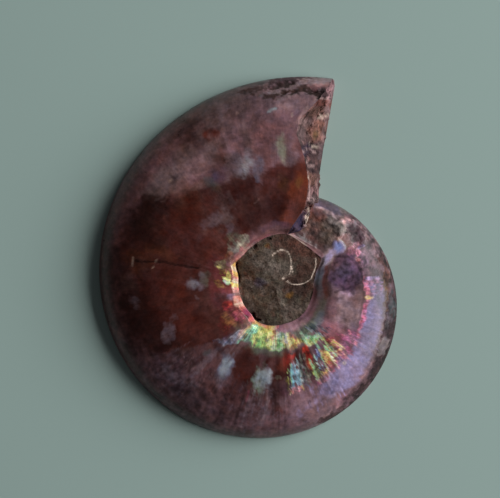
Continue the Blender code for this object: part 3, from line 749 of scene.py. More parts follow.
crescent = (
    ((216, 0.34), (219, 0.3), (223, 0.23), (227, 0.155), (231, 0.08), (234, 0.035), (240, 0.02), (262, 0.01),
     (268, 0.02), (272, 0.06), (280, 0.08), (285, 0.1), (292, 0.12), (298, 0.17), (306, 0.18), (312, 0.22),
     (319, 0.25)),
    ((216, 0.37), (219, 0.35), (222, 0.335), (226, 0.3), (230, 0.26), (235, 0.22), (242, 0.19), (248, 0.185),
     (255, 0.205), (262, 0.215), (272, 0.22), (280, 0.23), (286, 0.245), (292, 0.245), (297, 0.235),
     (302, 0.285), (308, 0.3), (313, 0.305), (319, 0.28)),
)
# The light on the rim itself: (along, shade), and (along, width)
rimLight = (
    (104, "roseBrown"), (116, "lightMauve"), (124, "rosePale"), (130, "rosePale"), (136, "tan"),
    (142, "olive"), (148, "gold"), (153, "cream"), (156, "gold"), (160, "salmon"), (164, "cream"),
    (168, "gold"), (173, "salmon"), (178, "rosePale"), (184, "tan"), (190, "salmon"), (197, "cream"),
    (203, "salmon"), (210, "magenta"), (222, "magenta"), (226, "salmon"), (231, "rose"), (236, "gold"),
    (243, "orange"), (249, "rose"), (255, "orange"), (262, "gold"), (270, "salmon"), (276, "roseBrown"),
)
rimLightWidth = (
    (104, 0.0), (114, 0.01), (124, 0.016), (134, 0.012), (140, 0.012), (147, 0.016), (150, 0.035),
    (155, 0.04), (160, 0.035), (170, 0.055), (176, 0.045), (184, 0.045), (190, 0.05), (197, 0.06),
    (204, 0.045), (214, 0.03), (221, 0.02), (226, 0.045), (232, 0.03), (238, 0.034), (250, 0.03),
    (262, 0.045), (270, 0.04), (276, 0.0),
)

# Other flames: name, shade, strength, along, across, lean, edge, stray, fire
flames = (
    ("cream haze by the rim", "paleSage", 0.7, (118, 129), (0.02, 0.09), 30, 0.6, 0.5, 0.2),
    ("icy patch", "paleSage", 0.7, (122, 139), (0.025, 0.125), 40, 0.6, 0.5, 0.2),
    ("teal in it", "teal", 0.5, (128, 141), (0.03, 0.1), 40, 0.6, 0.5, 0.2),
    ("green beyond it", "dullGreen", 0.5, (124, 136), (0.09, 0.17), 30, 0.6, 0.5, 0.2),
    ("orange brown", "amber", 0.6, (138, 147), (0.04, 0.1), 0, 0.5, 0.4, 0.3),
    ("rosy threads", "rosePale", 0.5, (140, 149), (0.02, 0.06), 20, 0.5, 0.3, 0.4),
    ("olive and rose glitter", "olive", 0.7, (150, 163), (0.04, 0.17), 0, 0.6, 0.6, 0.7),
    ("rosy glitter", "rose", 0.35, (152, 163), (0.03, 0.1), 0, 0.5, 0.6, 0.8),
    ("grey glitter", "dullGreen", 0.35, (149, 160), (0.08, 0.18), 20, 0.6, 0.6, 0.6),
    ("yellow line", "yellowGreen", 0.4, (154, 160), (0.13, 0.16), 0, 0.5, 0.3, 0.7),
    ("yellow line", "yellowGreen", 0.7, (156, 167), (0.055, 0.085), 0, 0.5, 0.25, 0.8),
    ("green flash", "mint", 1.0, (163.5, 170), (0.06, 0.115), 20, 0.4, 0.3, 0.6),
    ("yellow side of it", "yellowGreen", 0.9, (163, 167), (0.07, 0.125), 0, 0.4, 0.3, 0.8),
    ("gold under it", "gold", 0.9, (166, 171.5), (0.035, 0.06), 0, 0.4, 0.2, 0.6),
    ("olive trail", "olive", 0.6, (168.5, 173.5), (0.1, 0.18), -14, 0.6, 0.4, 0.7),
    ("dull red beside it", "maroon", 0.5, (171, 180), (0.03, 0.15), 0, 0.5, 0.4, 0.2),
    ("mauve grey above the flash", "cloudMauve", 0.4, (183, 191), (0.03, 0.1), 0, 0.6, 0.4, 0.1),
    ("red flash", "brightRed", 0.75, (190, 200), (0.07, 0.15), 20, 0.6, 0.4, 0.3),
    ("brighter in it", "brightRed", 0.8, (192.5, 197.5), (0.08, 0.125), 0, 0.6, 0.3, 0.3),
    ("maroon ground", "maroon", 0.8, (194, 231), (0.0, 0.17), -40, 0.5, 0.5, 0.2),
    ("rosy magenta", "magenta", 0.28, (204, 224), (0.03, 0.13), 0, 0.5, 0.5, 0.4),
    ("rosy in it", "rose", 0.25, (205, 220), (0.05, 0.11), 0, 0.5, 0.6, 0.4),
    ("red beyond", "brightRed", 0.2, (203, 220), (0.15, 0.26), 30, 0.6, 0.5, 0.3),
    ("olive line", "olive", 0.4, (203, 222), (0.13, 0.19), -90, 0.6, 0.4, 0.3),
    ("dusky spot above the flash", "duskMauve", 0.5, (179, 190), (0.08, 0.2), 20, 0.5, 0.4, 0.0),
    ("red cap of a lobe", "brightRed", 0.75, (278.5, 287), (0.25, 0.4), -30, 0.4, 0.3, 0.2),
    ("red lobe", "brightRed", 0.95, (293.2, 300), (0.25, 0.48), -10, 0.35, 0.3, 0.1),
    ("rosy ground of the rays", "rose", 0.4, (302, 322), (0.4, 0.64), 0, 0.45, 0.6, 0.5),
    ("grey-green slope", "dullGreen", 0.7, (296, 324), (0.085, 0.2), 0, 0.45, 0.4, 0.2),
    ("rosy spot in the slope", "rose", 0.4, (258, 268), (0.08, 0.14), 0, 0.5, 0.5, 0.5),
    ("magenta spots", "magenta", 0.7, (323.5, 328.5), (0.42, 0.6), 0, 0.5, 0.4, 0.5),
    ("salmon spot", "salmon", 0.9, (329.8, 333.4), (0.495, 0.55), 0, 0.45, 0.3, 0.6),
    ("rose spot", "rose", 0.8, (325.6, 328.4), (0.61, 0.665), 0, 0.45, 0.25, 0.6),
    ("rose spot", "rose", 0.7, (330, 333), (0.62, 0.665), 0, 0.45, 0.25, 0.6),
    ("cream spot", "cream", 0.75, (312.6, 315.4), (0.635, 0.685), 0, 0.5, 0.2, 0.4),
    ("rosy brown slope", "roseBrown", 0.5, (314, 322), (0.3, 0.44), 0, 0.5, 0.5, 0.3),
    ("red glow", "brightRed", 0.4, (314, 323), (0.36, 0.45), 0, 0.5, 0.4, 0.4),
    ("pink edge of the chamber", "hotPink", 0.7, (334, 346), (0.595, 0.66), 0, 0.45, 0.5, 0.5),
    ("salmon edge", "hotPink", 0.8, (341, 353), (0.61, 0.675), 0, 0.45, 0.4, 0.6),
    ("rose edge", "rose", 0.8, (352, 371), (0.62, 0.7), 0, 0.45, 0.5, 0.5),
    ("bright rose", "hotPink", 0.9, (360, 366), (0.63, 0.7), 0, 0.45, 0.4, 0.6),
    ("pink dabs", "rose", 0.55, (360.5, 364.5), (0.74, 0.83), 0, 0.5, 0.5, 0.4),
    ("pink dabs", "rose", 0.5, (365.5, 369), (0.66, 0.84), 0, 0.5, 0.5, 0.4),
    ("white gold spot", "gold", 1.0, (354.8, 357.4), (0.6, 0.705), 0, 0.5, 0.5, 0.6),
    ("its white middle", "cream", 1.0, (355.4, 356.9), (0.615, 0.66), 0, 0.5, 0.3, 0.4),
    ("rose beyond the chamber", "roseBrown", 0.5, (371, 384), (0.62, 0.7), 0, 0.5, 0.6, 0.3),
    ("salmon dab", "salmon", 0.45, (379.5, 383.5), (0.6, 0.66), 0, 0.5, 0.4, 0.5),
    ("bright pink dab", "rose", 0.8, (383.5, 388), (0.64, 0.72), 0, 0.5, 0.4, 0.5),
    ("lilac dab", "lilac", 0.55, (386.5, 389.5), (0.69, 0.82), 0, 0.5, 0.4, 0.4),
    ("rose dab", "rose", 0.35, (390, 393.5), (0.62, 0.78), 0, 0.5, 0.4, 0.3),
    ("rose side of the septum", "rose", 0.5, (385.5, 392.5), (0.5, 0.64), 0, 0.5, 0.4, 0.3),
)

# Fans of fire along the growth lines, play of colour with a painted reflection of the light in it: shades
# from side to side, along, across, slant, strength, fire
fans = (
    (("olive", "yellowGreen", "mint"), (276.2, 279.4), (0.44, 0.575), 0, 0.85, 0.6),
    (("mint", "skyBlue", "cloudBlue", "skyBlue", "ice", "cloudBlue"), (278.0, 287), (0.38, 0.585), 3, 1.0,
     0.3),
    (("teal", "dullGreen", "paleSage", "darkTeal", "dullGreen"), (284.5, 290.5), (0.34, 0.52), 5, 0.7, 0.3),
    (("darkTeal", "cloudBlue", "teal", "paleSage", "dullGreen"), (287, 292.4), (0.42, 0.6), 2, 0.6, 0.3),
    (("gold", "salmon", "rose", "salmon", "gold"), (277.4, 286), (0.585, 0.64), 0, 0.8, 0.6),
    (("yellowGreen", "mint", "yellowGreen", "gold"), (293.4, 298.4), (0.42, 0.62), 2, 0.95, 0.7),
    (("mint", "ice", "skyBlue", "cloudBlue", "skyBlue"), (297.4, 302), (0.38, 0.55), 3, 0.95, 0.4),
    (("darkTeal", "slate", "ice", "nearBlack", "slate"), (299.6, 303.4), (0.34, 0.56), 3, 0.85, 0.2),
    (("gold", "yellowGreen", "orange", "gold"), (297, 302.6), (0.565, 0.635), 1, 0.8, 0.7),
    (("steelBlue", "slate", "mint", "seaGreen"), (302.6, 307), (0.33, 0.52), 2, 0.85, 0.3),
    (("magenta", "rose", "salmon", "magenta", "plum"), (293.5, 303), (0.61, 0.665), 0, 0.6, 0.6),
    (("yellowGreen", "gold", "orange", "yellowGreen", "gold"), (303.5, 311.6), (0.42, 0.585), 2, 0.95, 0.8),
    (("seaGreen", "mint", "yellowGreen", "mint", "gold"), (308.4, 314.2), (0.3, 0.58), 3, 1.0, 0.6),
    (("darkTeal", "nearBlack"), (313.4, 315.2), (0.26, 0.54), 3, 0.8, 0.1),
    (("orange", "gold", "rose", "yellowGreen", "salmon"), (315.2, 321.2), (0.42, 0.57), 1, 0.8, 0.7),
    (("magenta", "rose", "magenta", "lilac", "rose", "magenta"), (304, 322), (0.56, 0.66), 0, 0.55, 0.5),
    (("magenta", "roseBrown", "rose", "roseBrown", "magenta"), (320, 333), (0.46, 0.66), 1, 0.35, 0.4),
    (("darkTeal", "cloudBlue", "darkTeal", "teal", "darkTeal"), (316, 326), (0.12, 0.3), -7, 0.7, 0.0),
    (("seaGreen", "darkTeal", "dullGreen", "darkTeal"), (303, 318), (0.1, 0.2), -5, 0.5, 0.2),
    # The lilac fans in the lavender band: nacre colour with a painted sheen of the light
    (("duskMauve", "lavender", "duskMauve", "cloudMauve", "lavender"), (286, 305), (0.62, 0.86), 0, 0.45,
     0.0),
    (("lilac", "lavender", "paleMauve", "lilac", "lavender"), (300, 368), (0.66, 0.84), 0, 0.35, 0.0),
    (("lilac", "rose", "lavender", "rose", "lilac"), (358, 370), (0.68, 0.83), 0, 0.5, 0.3),
)
# Growth lines at the bottom: dark and pale wisps
wisps = (
    ("plumBrown", "cloudMauve", "umber", "duskMauve", "plumBrown", "cloudMauve", "darkUmber"),
    (208, 276), (0.56, 0.94), 1,
)

# The crack across the red field, and two hairs of calcite that cross it
crackRoute = (
    (167.8, 0.76), (167.2, 0.69), (166.4, 0.62), (165.2, 0.55), (165, 0.47), (164.2, 0.36), (163.2, 0.295),
)
hairRoutes = (
    ((165, 0.6), (166.6, 0.602), (168.2, 0.609), (169.2, 0.62)),
    ((166.4, 0.765), (167.6, 0.762), (168.8, 0.764), (170, 0.77)),
)

# The stone in the umbilicus, with early whorls drawn on it by their pale shell walls: (angle, radius)
earlyWhorls = (
    ((96.3, 6.2), (88.7, 6.8), (84, 7.07), (79.9, 7.17), (76.3, 7.1), (72.5, 6.72), (68.3, 6.23),
     (64.7, 5.64), (62.1, 5.06), (56.7, 4.6), (50, 4.2)),
    ((60.5, 4.8), (57.4, 4.4), (54.4, 3.7)),
    ((67, 2.6), (54.9, 2.68), (41, 2.59), (27.9, 2.84), (22.2, 3.3), (18.7, 3.96), (17.8, 4.67), (19, 5.44),
     (21, 6.1), (25.8, 6.63), (30.4, 7.33), (34.9, 7.95), (40.9, 8.6)),
)
# Shade, strength, width, stray, route
stonePatches = (
    ("redStone", 0.85, 5.0, 0.8, ((82, 9), (50, 8), (28, 7), (20, 4))),
    ("rust", 0.45, 1.6, 0.5, ((70, 8.6), (50, 8.4))),
    ("ochre", 0.9, 0.8, 0.4, ((352, 2.6), (345, 2.2))),
    ("ochre", 0.7, 0.5, 0.3, ((103, 7.9), (100, 8.1))),
    ("paleStone", 0.6, 3.0, 0.8, ((100, 4), (70, 3.6))),
    ("stone", 0.8, 2.0, 0.6, ((70, 4.6), (60, 4.4))),
    ("paleStone", 0.45, 2.6, 0.8, ((120, 5.6), (105, 6.2))),
    ("paleStone", 0.6, 2.2, 0.6, ((325, 4.4), (300, 4.6))),
    ("darkStone", 0.7, 1.6, 0.5, ((20, 3.4), (350, 3.4), (10, 4.6))),
    ("darkStone", 0.6, 1.8, 0.6, ((200, 5.6), (225, 4.7), (250, 5.2))),
    ("darkStone", 0.6, 1.4, 0.6, ((160, 5.4), (175, 3.6))),
    ("slate", 0.75, 1.5, 0.4, ((148, 3.0), (152, 3.4))),
    ("rust", 0.8, 0.7, 0.3, ((100, 7.6), (101, 7.8))),
    ("cream", 0.5, 0.3, 0.2, ((300, 2.3), (302, 2.5))),
)
stoneFlecks = (
    (118.7, 4.8), (125.5, 3.5), (165.6, 4.05), (180, 0.7), (246, 5.4), (300, 3.1), (205, 4.4), (92, 4.9),
)
# Crevices and pits at its wall, dips painted near black as their shade: route, width, edge, stray, whether it
# comes and goes, relief
gaps = (
    (((136, 8.15), (146, 8.2), (152, 7.25), (157, 6.7), (165, 6.5)), 0.4, 0.6, 0.25, True, -0.5),
    (((97, 9.0), (99, 9.1)), 0.45, 0.5, 0.2, False, -0.4),
    (((114, 8.4), (117, 8.3)), 0.45, 0.5, 0.2, False, -0.4),
    (((215, 5.3), (223, 5.3), (233, 5.65), (240, 5.6)), 0.55, 0.6, 0.3, True, -0.6),
)

hollow = ((68.4, 84), (-0.05, 0.18))  # behind the lip of the broken mouth
# The mouth, on the outer whorl's lines carried on past it: shade, strength, along, across, edge, stray
breakPatches = (
    ("rosyMauve", 0.7, (73, 78.5), (0.86, 1.04), 0.3, 0.4),
    ("rust", 0.75, (73.5, 79), (0.815, 0.87), 0.4, 0.35),
    ("darkPlum", 0.85, (76.5, 82), (0.86, 0.95), 0.4, 0.4),
    ("brownStone", 0.85, (74.5, 81), (0.74, 0.81), 0.4, 0.3),
    ("rosePale", 0.7, (79.5, 84), (0.695, 0.735), 0.5, 0.3),
    ("amber", 0.45, (72.5, 79.5), (0.6, 0.735), 0.35, 0.4),
    ("olive", 0.35, (74.5, 77.5), (0.62, 0.67), 0.5, 0.3),
    ("greyMauve", 0.6, (78.6, 84), (0.58, 0.69), 0.5, 0.3),
    ("brownStone", 0.7, (70, 78), (0.31, 0.4), 0.4, 0.4),
    ("paleMauve", 0.8, (65, 74), (0.235, 0.33), 0.4, 0.3),
    ("roseBrown", 0.8, (64, 75), (0.275, 0.33), 0.5, 0.3),
    ("rust", 0.6, (64, 72), (0.19, 0.23), 0.5, 0.3),
    ("lightMauve", 0.9, (64, 69.5), (0.08, 0.2), 0.4, 0.3),
    ("inkBlue", 1.0, *hollow, 0.15, 0.2),
    ("slate", 0.6, (66, 76), (-0.03, 0.045), 0.5, 0.2),
)
# Cavities in it, painted over the crystal faces: shade, strength, along, across, edge, stray
cavities = (
    ("cavity", 0.95, (69.5, 79.6), (0.485, 0.6), 0.25, 0.5),
    ("inkBlue", 0.6, (76, 80), (0.51, 0.58), 0.4, 0.4),
    ("cavity", 0.9, (69, 77.6), (0.405, 0.48), 0.25, 0.45),
    ("darkRed", 0.7, (74.5, 78.5), (0.42, 0.46), 0.4, 0.3),
    ("darkPlum", 0.7, (76.5, 81), (0.86, 0.92), 0.4, 0.4),
)
# The same: shade, strength, width, edge, stray, route
breakVeins = (
    ("lightMauve", 0.35, 0.4, 0.5, 0.5, ((74.6, 0.99), (74.3, 0.86), (73.9, 0.74), (73.2, 0.62), (72, 0.5))),
    ("rosePale", 0.8, 0.35, 0.5, 0.4, ((78.4, 0.875), (76.4, 0.865), (74.8, 0.88))),
    ("cream", 0.5, 0.3, 0.5, 0.4, ((76.4, 0.745), (74.6, 0.75), (74.0, 0.77))),
    ("cream", 0.6, 0.3, 0.5, 0.3, ((77.4, 0.575), (75.4, 0.565), (73.4, 0.58))),
    ("rosePale", 0.8, 0.35, 0.5, 0.3, ((78.8, 0.545), (76.8, 0.54), (74.4, 0.53))),
    ("rosePale", 0.8, 0.4, 0.5, 0.3, ((77, 0.475), (75, 0.45), (73, 0.445))),
    ("cream", 0.7, 0.3, 0.5, 0.3, ((75.6, 0.385), (74.4, 0.375))),
    ("rosePale", 0.8, 0.4, 0.5, 0.3, ((76.2, 0.405), (74, 0.345), (72.2, 0.28), (70.4, 0.235))),
    ("cream", 0.8, 0.4, 0.5, 0.2, ((69.5, 0.2), (68, 0.13), (66, 0.1))),
    ("plum", 0.8, 0.4, 0.5, 0.2, ((69.6, 0.17), (72, 0.16), (76, 0.12))),
)

# What some markings do to the surface: worn is rough and dull, relief is in mm
surfaceOf = {
    "worn outer rim": {"worn": 1.0, "relief": -0.05},
    "brown stone": {"worn": 1.0, "relief": -0.18},
    "lighter stone": {"worn": 0.8, "relief": 0.12},
    "mottled corner": {"worn": 0.4, "relief": -0.03},
    "pale patch on the worn rim": {"relief": 0.08},
    "speckled grey": {"worn": 0.35, "relief": -0.03},
    "dark purple chamber": {"relief": -0.06},
    "tan chamber": {"relief": -0.05},
    "chamber wall": {"relief": -0.05},
    "lilac septum": {"relief": 0.08},
    "rose seam over the umbilicus": {"relief": 0.1},
    "dark gap": {"relief": -0.05},
}


# Painted light and shade, where the shell is made lighter or darker in place of the light and shade on its
# slopes: red, green and blue factors, along, across, edge
paintedLightAndShade = (
    ((1.7, 1.6, 1.8), (258, 290), (0.03, 0.24), 0.4),
    ((1.6, 1.55, 1.55), (286, 324), (0.04, 0.3), 0.4),
    ((1.5, 1.25, 1.35), (268, 352), (-0.08, 0.08), 0.4),
    ((1.8, 1.8, 2.0), (318, 338), (0.2, 0.44), 0.5),
    ((1.4, 1.35, 1.5), (334, 362), (0.24, 0.58), 0.4),
    ((1.5, 1.7, 1.9), (374, 399), (-0.06, 0.17), 0.4),
    ((1.4, 1.4, 1.4), (388, 400), (0.04, 0.3), 0.4),
    ((1.45, 1.4, 1.65), (370, 391), (0.52, 0.8), 0.5),
    ((1.8, 1.7, 1.7), (124, 142), (-0.04, 0.1), 0.5),
    ((1.8, 1.7, 1.7), (163, 180), (0.02, 0.2), 0.5),
    ((1.5, 1.35, 1.25), (192, 232), (0.02, 0.16), 0.4),
    ((1.35, 1.2, 1.5), (148, 166), (0.09, 0.22), 0.5),
    ((0.55, 0.55, 0.58), (350, 373), (0.72, 0.95), 0.4),
    ((0.7, 0.72, 0.72), (366, 374), (0.62, 0.84), 0.4),
    ((0.8, 0.8, 0.8), (334, 354), (0.68, 0.9), 0.5),
    ((1.3, 1.3, 1.35), (275, 288), (0.58, 0.86), 0.5),
    ((1.35, 1.3, 1.3), (122, 136), (0.8, 0.92), 0.5),
    ((1.4, 1.3, 1.25), (155, 166), (0.8, 0.9), 0.5),
    ((1.5, 1.5, 1.5), (166, 194), (0.01, 0.09), 0.5),
    ((1.5, 1.2, 1.0), (224, 236), (0.0, 0.1), 0.5),
    ((0.85, 0.8, 0.95), (236, 243), (0.11, 0.2), 0.5),
    ((1.4, 1.3, 1.4), (300, 316), (0.3, 0.4), 0.5),
    ((1.6, 1.2, 1.5), (305, 316), (0.48, 0.6), 0.5),
    ((1.3, 1.4, 1.8), (318, 336), (0.48, 0.62), 0.5),
    ((1.4, 1.35, 1.3), (374, 386), (0.2, 0.34), 0.5),
    ((0.7, 0.7, 0.7), (404, 434), (0.03, 0.2), 0.5),
    ((1.5, 1.5, 1.6), (77, 84), (0.0, 0.2), 0.5),
    ((0.65, 0.65, 0.7), (296, 304), (0.52, 0.6), 0.5),
    ((1.4, 1.3, 1.3), (76, 85), (0.48, 0.62), 0.4),
    ((1.25, 1.2, 1.2), (78, 96), (0.91, 1.02), 0.4),
    ((0.8, 0.8, 0.8), (136, 148), (0.62, 0.82), 0.5),
    ((1.14, 1.02, 1.0), (108, 232), (0.8, 1.1), 0.3),
    ((1.08, 0.95, 0.91), (66, 240), (-0.1, 0.95), 0.15),
    ((1.06, 1.0, 1.0), (236, 300), (0.28, 1.1), 0.3),
    ((1.15, 1.1, 1.15), (98, 112), (0.42, 0.6), 0.5),
    ((1.2, 1.15, 1.15), (103, 114), (0.7, 0.92), 0.5),
    ((1.25, 1.2, 1.2), (80, 90), (0.6, 0.94), 0.5),
    ((1.3, 1.2, 1.2), (117, 130), (0.52, 0.72), 0.5),
    ((0.85, 0.8, 0.8), (112, 122), (0.8, 0.9), 0.5),
    ((1.5, 1.4, 1.5), (296, 305), (0.86, 0.95), 0.5),
    ((1.35, 1.3, 1.3), (311, 321), (0.66, 0.84), 0.5),
    ((1.3, 1.2, 1.2), (318, 332), (0.26, 0.5), 0.5),
    ((1.3, 1.25, 1.25), (256, 264), (0.74, 0.94), 0.5),
    ((1.0, 0.85, 0.8), (124, 146), (0.28, 0.56), 0.5),
    ((0.85, 0.82, 0.78), (205, 216), (0.5, 0.72), 0.5),
    ((0.8, 0.78, 0.75), (216, 224), (0.58, 0.72), 0.5),
    ((0.75, 0.75, 0.75), (227, 236), (0.72, 0.94), 0.5),
    ((0.8, 0.75, 0.75), (282, 298), (0.3, 0.5), 0.5),
    ((1.35, 1.3, 1.3), (86, 93), (0.4, 0.5), 0.5),
    ((0.75, 0.75, 0.75), (237, 243), (0.74, 0.88), 0.5),
    ((0.9, 0.8, 0.9), (272, 286), (0.14, 0.25), 0.5),
    ((1.35, 1.5, 1.4), (302, 310), (0.15, 0.25), 0.5),
    ((0.88, 0.78, 1.08), (302, 309), (0.35, 0.45), 0.5),
    ((0.8, 0.72, 0.85), (272, 279), (0.55, 0.64), 0.5),
    ((1.3, 1.2, 1.4), (291, 297), (0.54, 0.66), 0.5),
    ((1.2, 1.15, 1.1), (303, 309), (0.55, 0.65), 0.5),
    ((1.35, 1.35, 1.35), (314, 326), (0.87, 0.93), 0.5),
    ((0.8, 0.75, 0.78), (346, 357), (0.86, 0.94), 0.5),
    ((0.87, 0.82, 0.84), (327, 371), (0.73, 0.88), 0.4),
    ((1.3, 1.3, 1.27), (391, 400), (0.1, 0.4), 0.5),
    ((1.2, 1.1, 0.9), (392, 401), (0.44, 0.57), 0.5),
    ((1.3, 1.25, 1.25), (399, 405), (0.43, 0.58), 0.5),
    ((1.2, 1.25, 1.35), (398, 406), (0.77, 0.92), 0.5),
    ((1.4, 1.4, 1.4), (420, 432), (0.77, 0.93), 0.5),
    ((1.4, 1.3, 1.35), (410, 424), (0.22, 0.4), 0.5),
    ((1.4, 1.3, 1.5), (375, 381), (0.65, 0.76), 0.5),
    ((1.35, 1.25, 1.25), (388, 393), (0.64, 0.76), 0.5),
    ((1.3, 1.25, 1.5), (358, 372), (0.26, 0.58), 0.5),
    ((1.3, 1.28, 1.3), (89, 95), (0.92, 0.98), 0.5),
    ((1.3, 1.15, 1.15), (112, 128), (0.92, 0.99), 0.5),
    ((0.8, 0.82, 0.85), (113, 120), (0.55, 0.66), 0.5),
    ((0.9, 0.68, 0.68), (129, 136), (0.1, 0.2), 0.5),
    ((0.84, 0.72, 0.58), (128, 144), (0.4, 0.66), 0.5),
    ((0.8, 0.7, 0.65), (195, 206), (0.25, 0.44), 0.5),
    ((1.0, 1.15, 1.4), (236, 254), (0.06, 0.16), 0.5),
    ((1.3, 1.22, 1.3), (237, 249), (0.17, 0.24), 0.5),
    ((1.2, 1.15, 1.25), (333, 357), (0.57, 0.66), 0.5),
    ((1.25, 1.12, 1.18), (362, 369), (0.65, 0.74), 0.5),
    ((1.15, 1.2, 1.28), (321, 328), (0.26, 0.45), 0.5),
    ((0.82, 0.84, 0.78), (332, 340), (0.26, 0.35), 0.5),
)
# Mottling finer than a shade patch: strength, along, across, edge
mottled = (
    (1.8, (362, 412), (0.62, 1.1), 0.3),
    (1.4, (361, 393), (0.2, 0.64), 0.3),
    (0.7, (332, 362), (0.24, 0.62), 0.3),
    (1.5, (290, 372), (0.88, 1.2), 0.3),
    (1.2, (400, 436), (0.1, 0.9), 0.3),
    (0.4, (204, 256), (0.5, 1.1), 0.4),
    (0.4, (84, 118), (0.56, 1.1), 0.3),
    (0.25, (116, 160), (0.56, 1.1), 0.3),
    (0.5, (196, 304), (0.56, 1.1), 0.3),
    (0.4, (160, 200), (0.7, 1.1), 0.4),
    (0.35, (60, 236), (0.0, 0.9), 0.4),
)


def layGround():
    angle = placesAt(1.2)[1]
    canvas["tint"][:] = hues(groundShades, angle + 3 * canvas["fibres"][0])
    broad, second, third = canvas["broad"]
    paint(smooth(0.5 + 1.1 * broad), "brownMauve", 0.6)
    paint(smooth(0.4 + 1.2 * second), "rosyMauve", 0.4)
    paint(smooth(0.2 + 1.2 * third), "duskMauve", 0.5)
    paint(smooth(0.1 + 1.3 * canvas["fibres"][0]), "plumBrown", 0.32)
    paint(smooth(-0.1 + 1.3 * canvas["fibres"][1]), "lightMauve", 0.25)
    canvas["veil"][:] = canvas["tint"]


# The fire's bright flakes are painted glints, and the light on the rim is a painted highlight over its play
# of colour
def paintFire():  # shades stray along the growth lines, and bright flakes stand against dull ones
    angle, across = placesAt(0.35)[1:]
    fibres, more = canvas["fibres"]
    lower, upper = (onTable(line, angle) for line in crescent)
    share = smooth((across - lower) / (upper - lower) + 0.35 * fibres)[:, None]
    shifted = angle + 6.0 * canvas["clouds"][1] + 1.5 * canvas["threads"] + 3.0 * canvas["specks"][1]
    colour = hues(fireInside, shifted) * (1 - share) + hues(fireOutside, shifted) * share
    flakes = np.clip(1.15 + 0.3 * canvas["threads"] + 1.1 * canvas["specks"][0], 0.4, 2.0)[:, None]
    band = wispy(belt(*crescent, 0.07, 0.5), 0.6)
    paint(band, np.clip(colour * flakes, 0, 1), 0.95, ragged=0.45, fibrous=0.4, veil=True, fire=0.8)
    width = onTable(rimLightWidth, angle)
    lit = (1 - smooth((across - width) / 0.02 + 0.5)) * (angle > 100) * (angle < 276)
    rimColour = hues(rimLight, angle + 2.5 * canvas["threads"] + 2 * more)
    paint(lit, np.clip(rimColour * flakes**0.5, 0, 1), 0.95, ragged=0.3, fibrous=0.5, veil=True, fire=0.5)


def paintFan(fan, along, across, slant, strength, fire):  # broken threads of straying shades
    angle, out = placesAt(0.25)[1:]
    fibres, threads, clouds = canvas["fibres"][1], canvas["threads"], canvas["clouds"]
    rise = (out - across[0]) / (across[1] - across[0])
    side = (angle - slant * (1 - rise) - along[0]) / (along[1] - along[0])
    edge = 1.2 / (along[1] - along[0])
    mask = smooth(side / edge + 0.5 + 0.6 * clouds[0]) * smooth((1 - side) / edge + 0.5 + 0.6 * clouds[1])
    mask *= smooth(4 * rise + 0.5 + 1.8 * threads) * smooth(4 * (1 - rise) + 0.5 + 1.8 * threads)
    mask *= smooth(0.85 + 1.3 * threads + 1.0 * canvas["specks"][0])
    strayed = (side * 1.1 - 0.05) * (len(fan) - 1) + 1.3 * threads + 0.9 * clouds[2]
    shade = hues(tuple(enumerate(fan)), strayed)
    flakes = np.clip(1.1 + 0.7 * fibres + 0.9 * canvas["specks"][1], 0.3, 2.0)[:, None]
    paint(mask, np.clip(shade * flakes, 0, 1), strength, ragged=0.2, veil=True, fire=fire)


def paintFans():
    for fan in fans:
        paintFan(*fan)
    paintFan(*wisps, 0.42, 0.0)


def mark(name, mask, shade, strength, **also):  # a named marking, with what it does to the surface
    paint(mask, shade, strength, **also, **surfaceOf.get(name, {}))


def paintShell():
    layGround()
    for name, shade, strength, lower, upper, edge, stray in areas:
        mark(name, belt(lower, upper, edge, stray), shade, strength)
    for name, shade, strength, along, across, lean, edge, stray in patches:
        mark(name, oval(along, across, lean, edge, stray), shade, strength)
    for name, shade, strength, width, edge, stray, route in streaks:
        mark(name, stroke(onShell(route), width, edge, stray), shade, strength)
    torn = 0.9 * canvas["specks"][0] + 0.6 * canvas["clouds"][0]
    for shade, strength, relief, along, across in flakesOff:
        mask = oval(along, across, edge=0.6, stray=0.7)
        mask = smooth(0.5 + 3.5 * (mask - 0.5 + torn * smooth(mask * 4)))
        paint(mask, shade, strength, ragged=0.1, relief=relief, worn=0.7 if relief < 0 else 0.2)
    for name, shade, strength, along, across, lean, edge, stray in clouds:
        mask = oval(along, across, lean, edge + 0.15, stray)
        mask = 0.5 * cloudy(mask, 0.9) + 0.5 * wispy(mask, 1.1 * edge)  # soft, with shreds in it
        mark(name, mask, shade, strength, ragged=0.3, fibrous=0.3, veil=True)
    paintFire()
    for name, shade, strength, along, across, lean, edge, stray, fire in flames:
        mask = oval(along, across, lean, edge, stray)
        mask = wispy(mask, 1.2) if fire > 0.35 else cloudy(mask, 1.0)
        flakes = np.clip(0.9 + 0.9 * canvas["specks"][1], 0.4, 1.5)[:, None]
        mark(name, mask, np.clip(linear(shade) * flakes, 0, 1), strength, ragged=0.5, veil=True, fire=fire)
    paintFans()
    crack = stroke(onShell(crackRoute), width=0.30, edge=0.6, stray=0.12)
    paint(crack, "nearBlack", 0.95, ragged=0.3, relief=-0.12)
    for route in hairRoutes:
        paint(stroke(onShell(route), width=0.15, edge=0.6, stray=0.06), "cream", 0.35, ragged=0)


def lightAndMottle():
    specks, clouds = canvas["specks"], canvas["clouds"]
    shell = (canvas["part"] == shellPart)[:, None]
    grains = (0.6 * specks[1] + 0.5 * clouds[3])[:, None]
    for strength, along, across, edge in mottled:
        uneven = np.clip(1 + strength * oval(along, across, 0, edge)[:, None] * grains * shell, 0.3, 2)
        canvas["tint"] *= uneven
        canvas["veil"] *= uneven**0.5  # the veil is calmer
    # Painted light and shade: each area's colour made lighter or darker by its factors
    for factors, along, across, edge in paintedLightAndShade:
        factor = 1 + (np.array(factors) - 1) * oval(along, across, 0, edge)[:, None] * shell
        for layer in ("tint", "veil"):
            canvas[layer] = np.clip(canvas[layer] * factor, 0, 1)


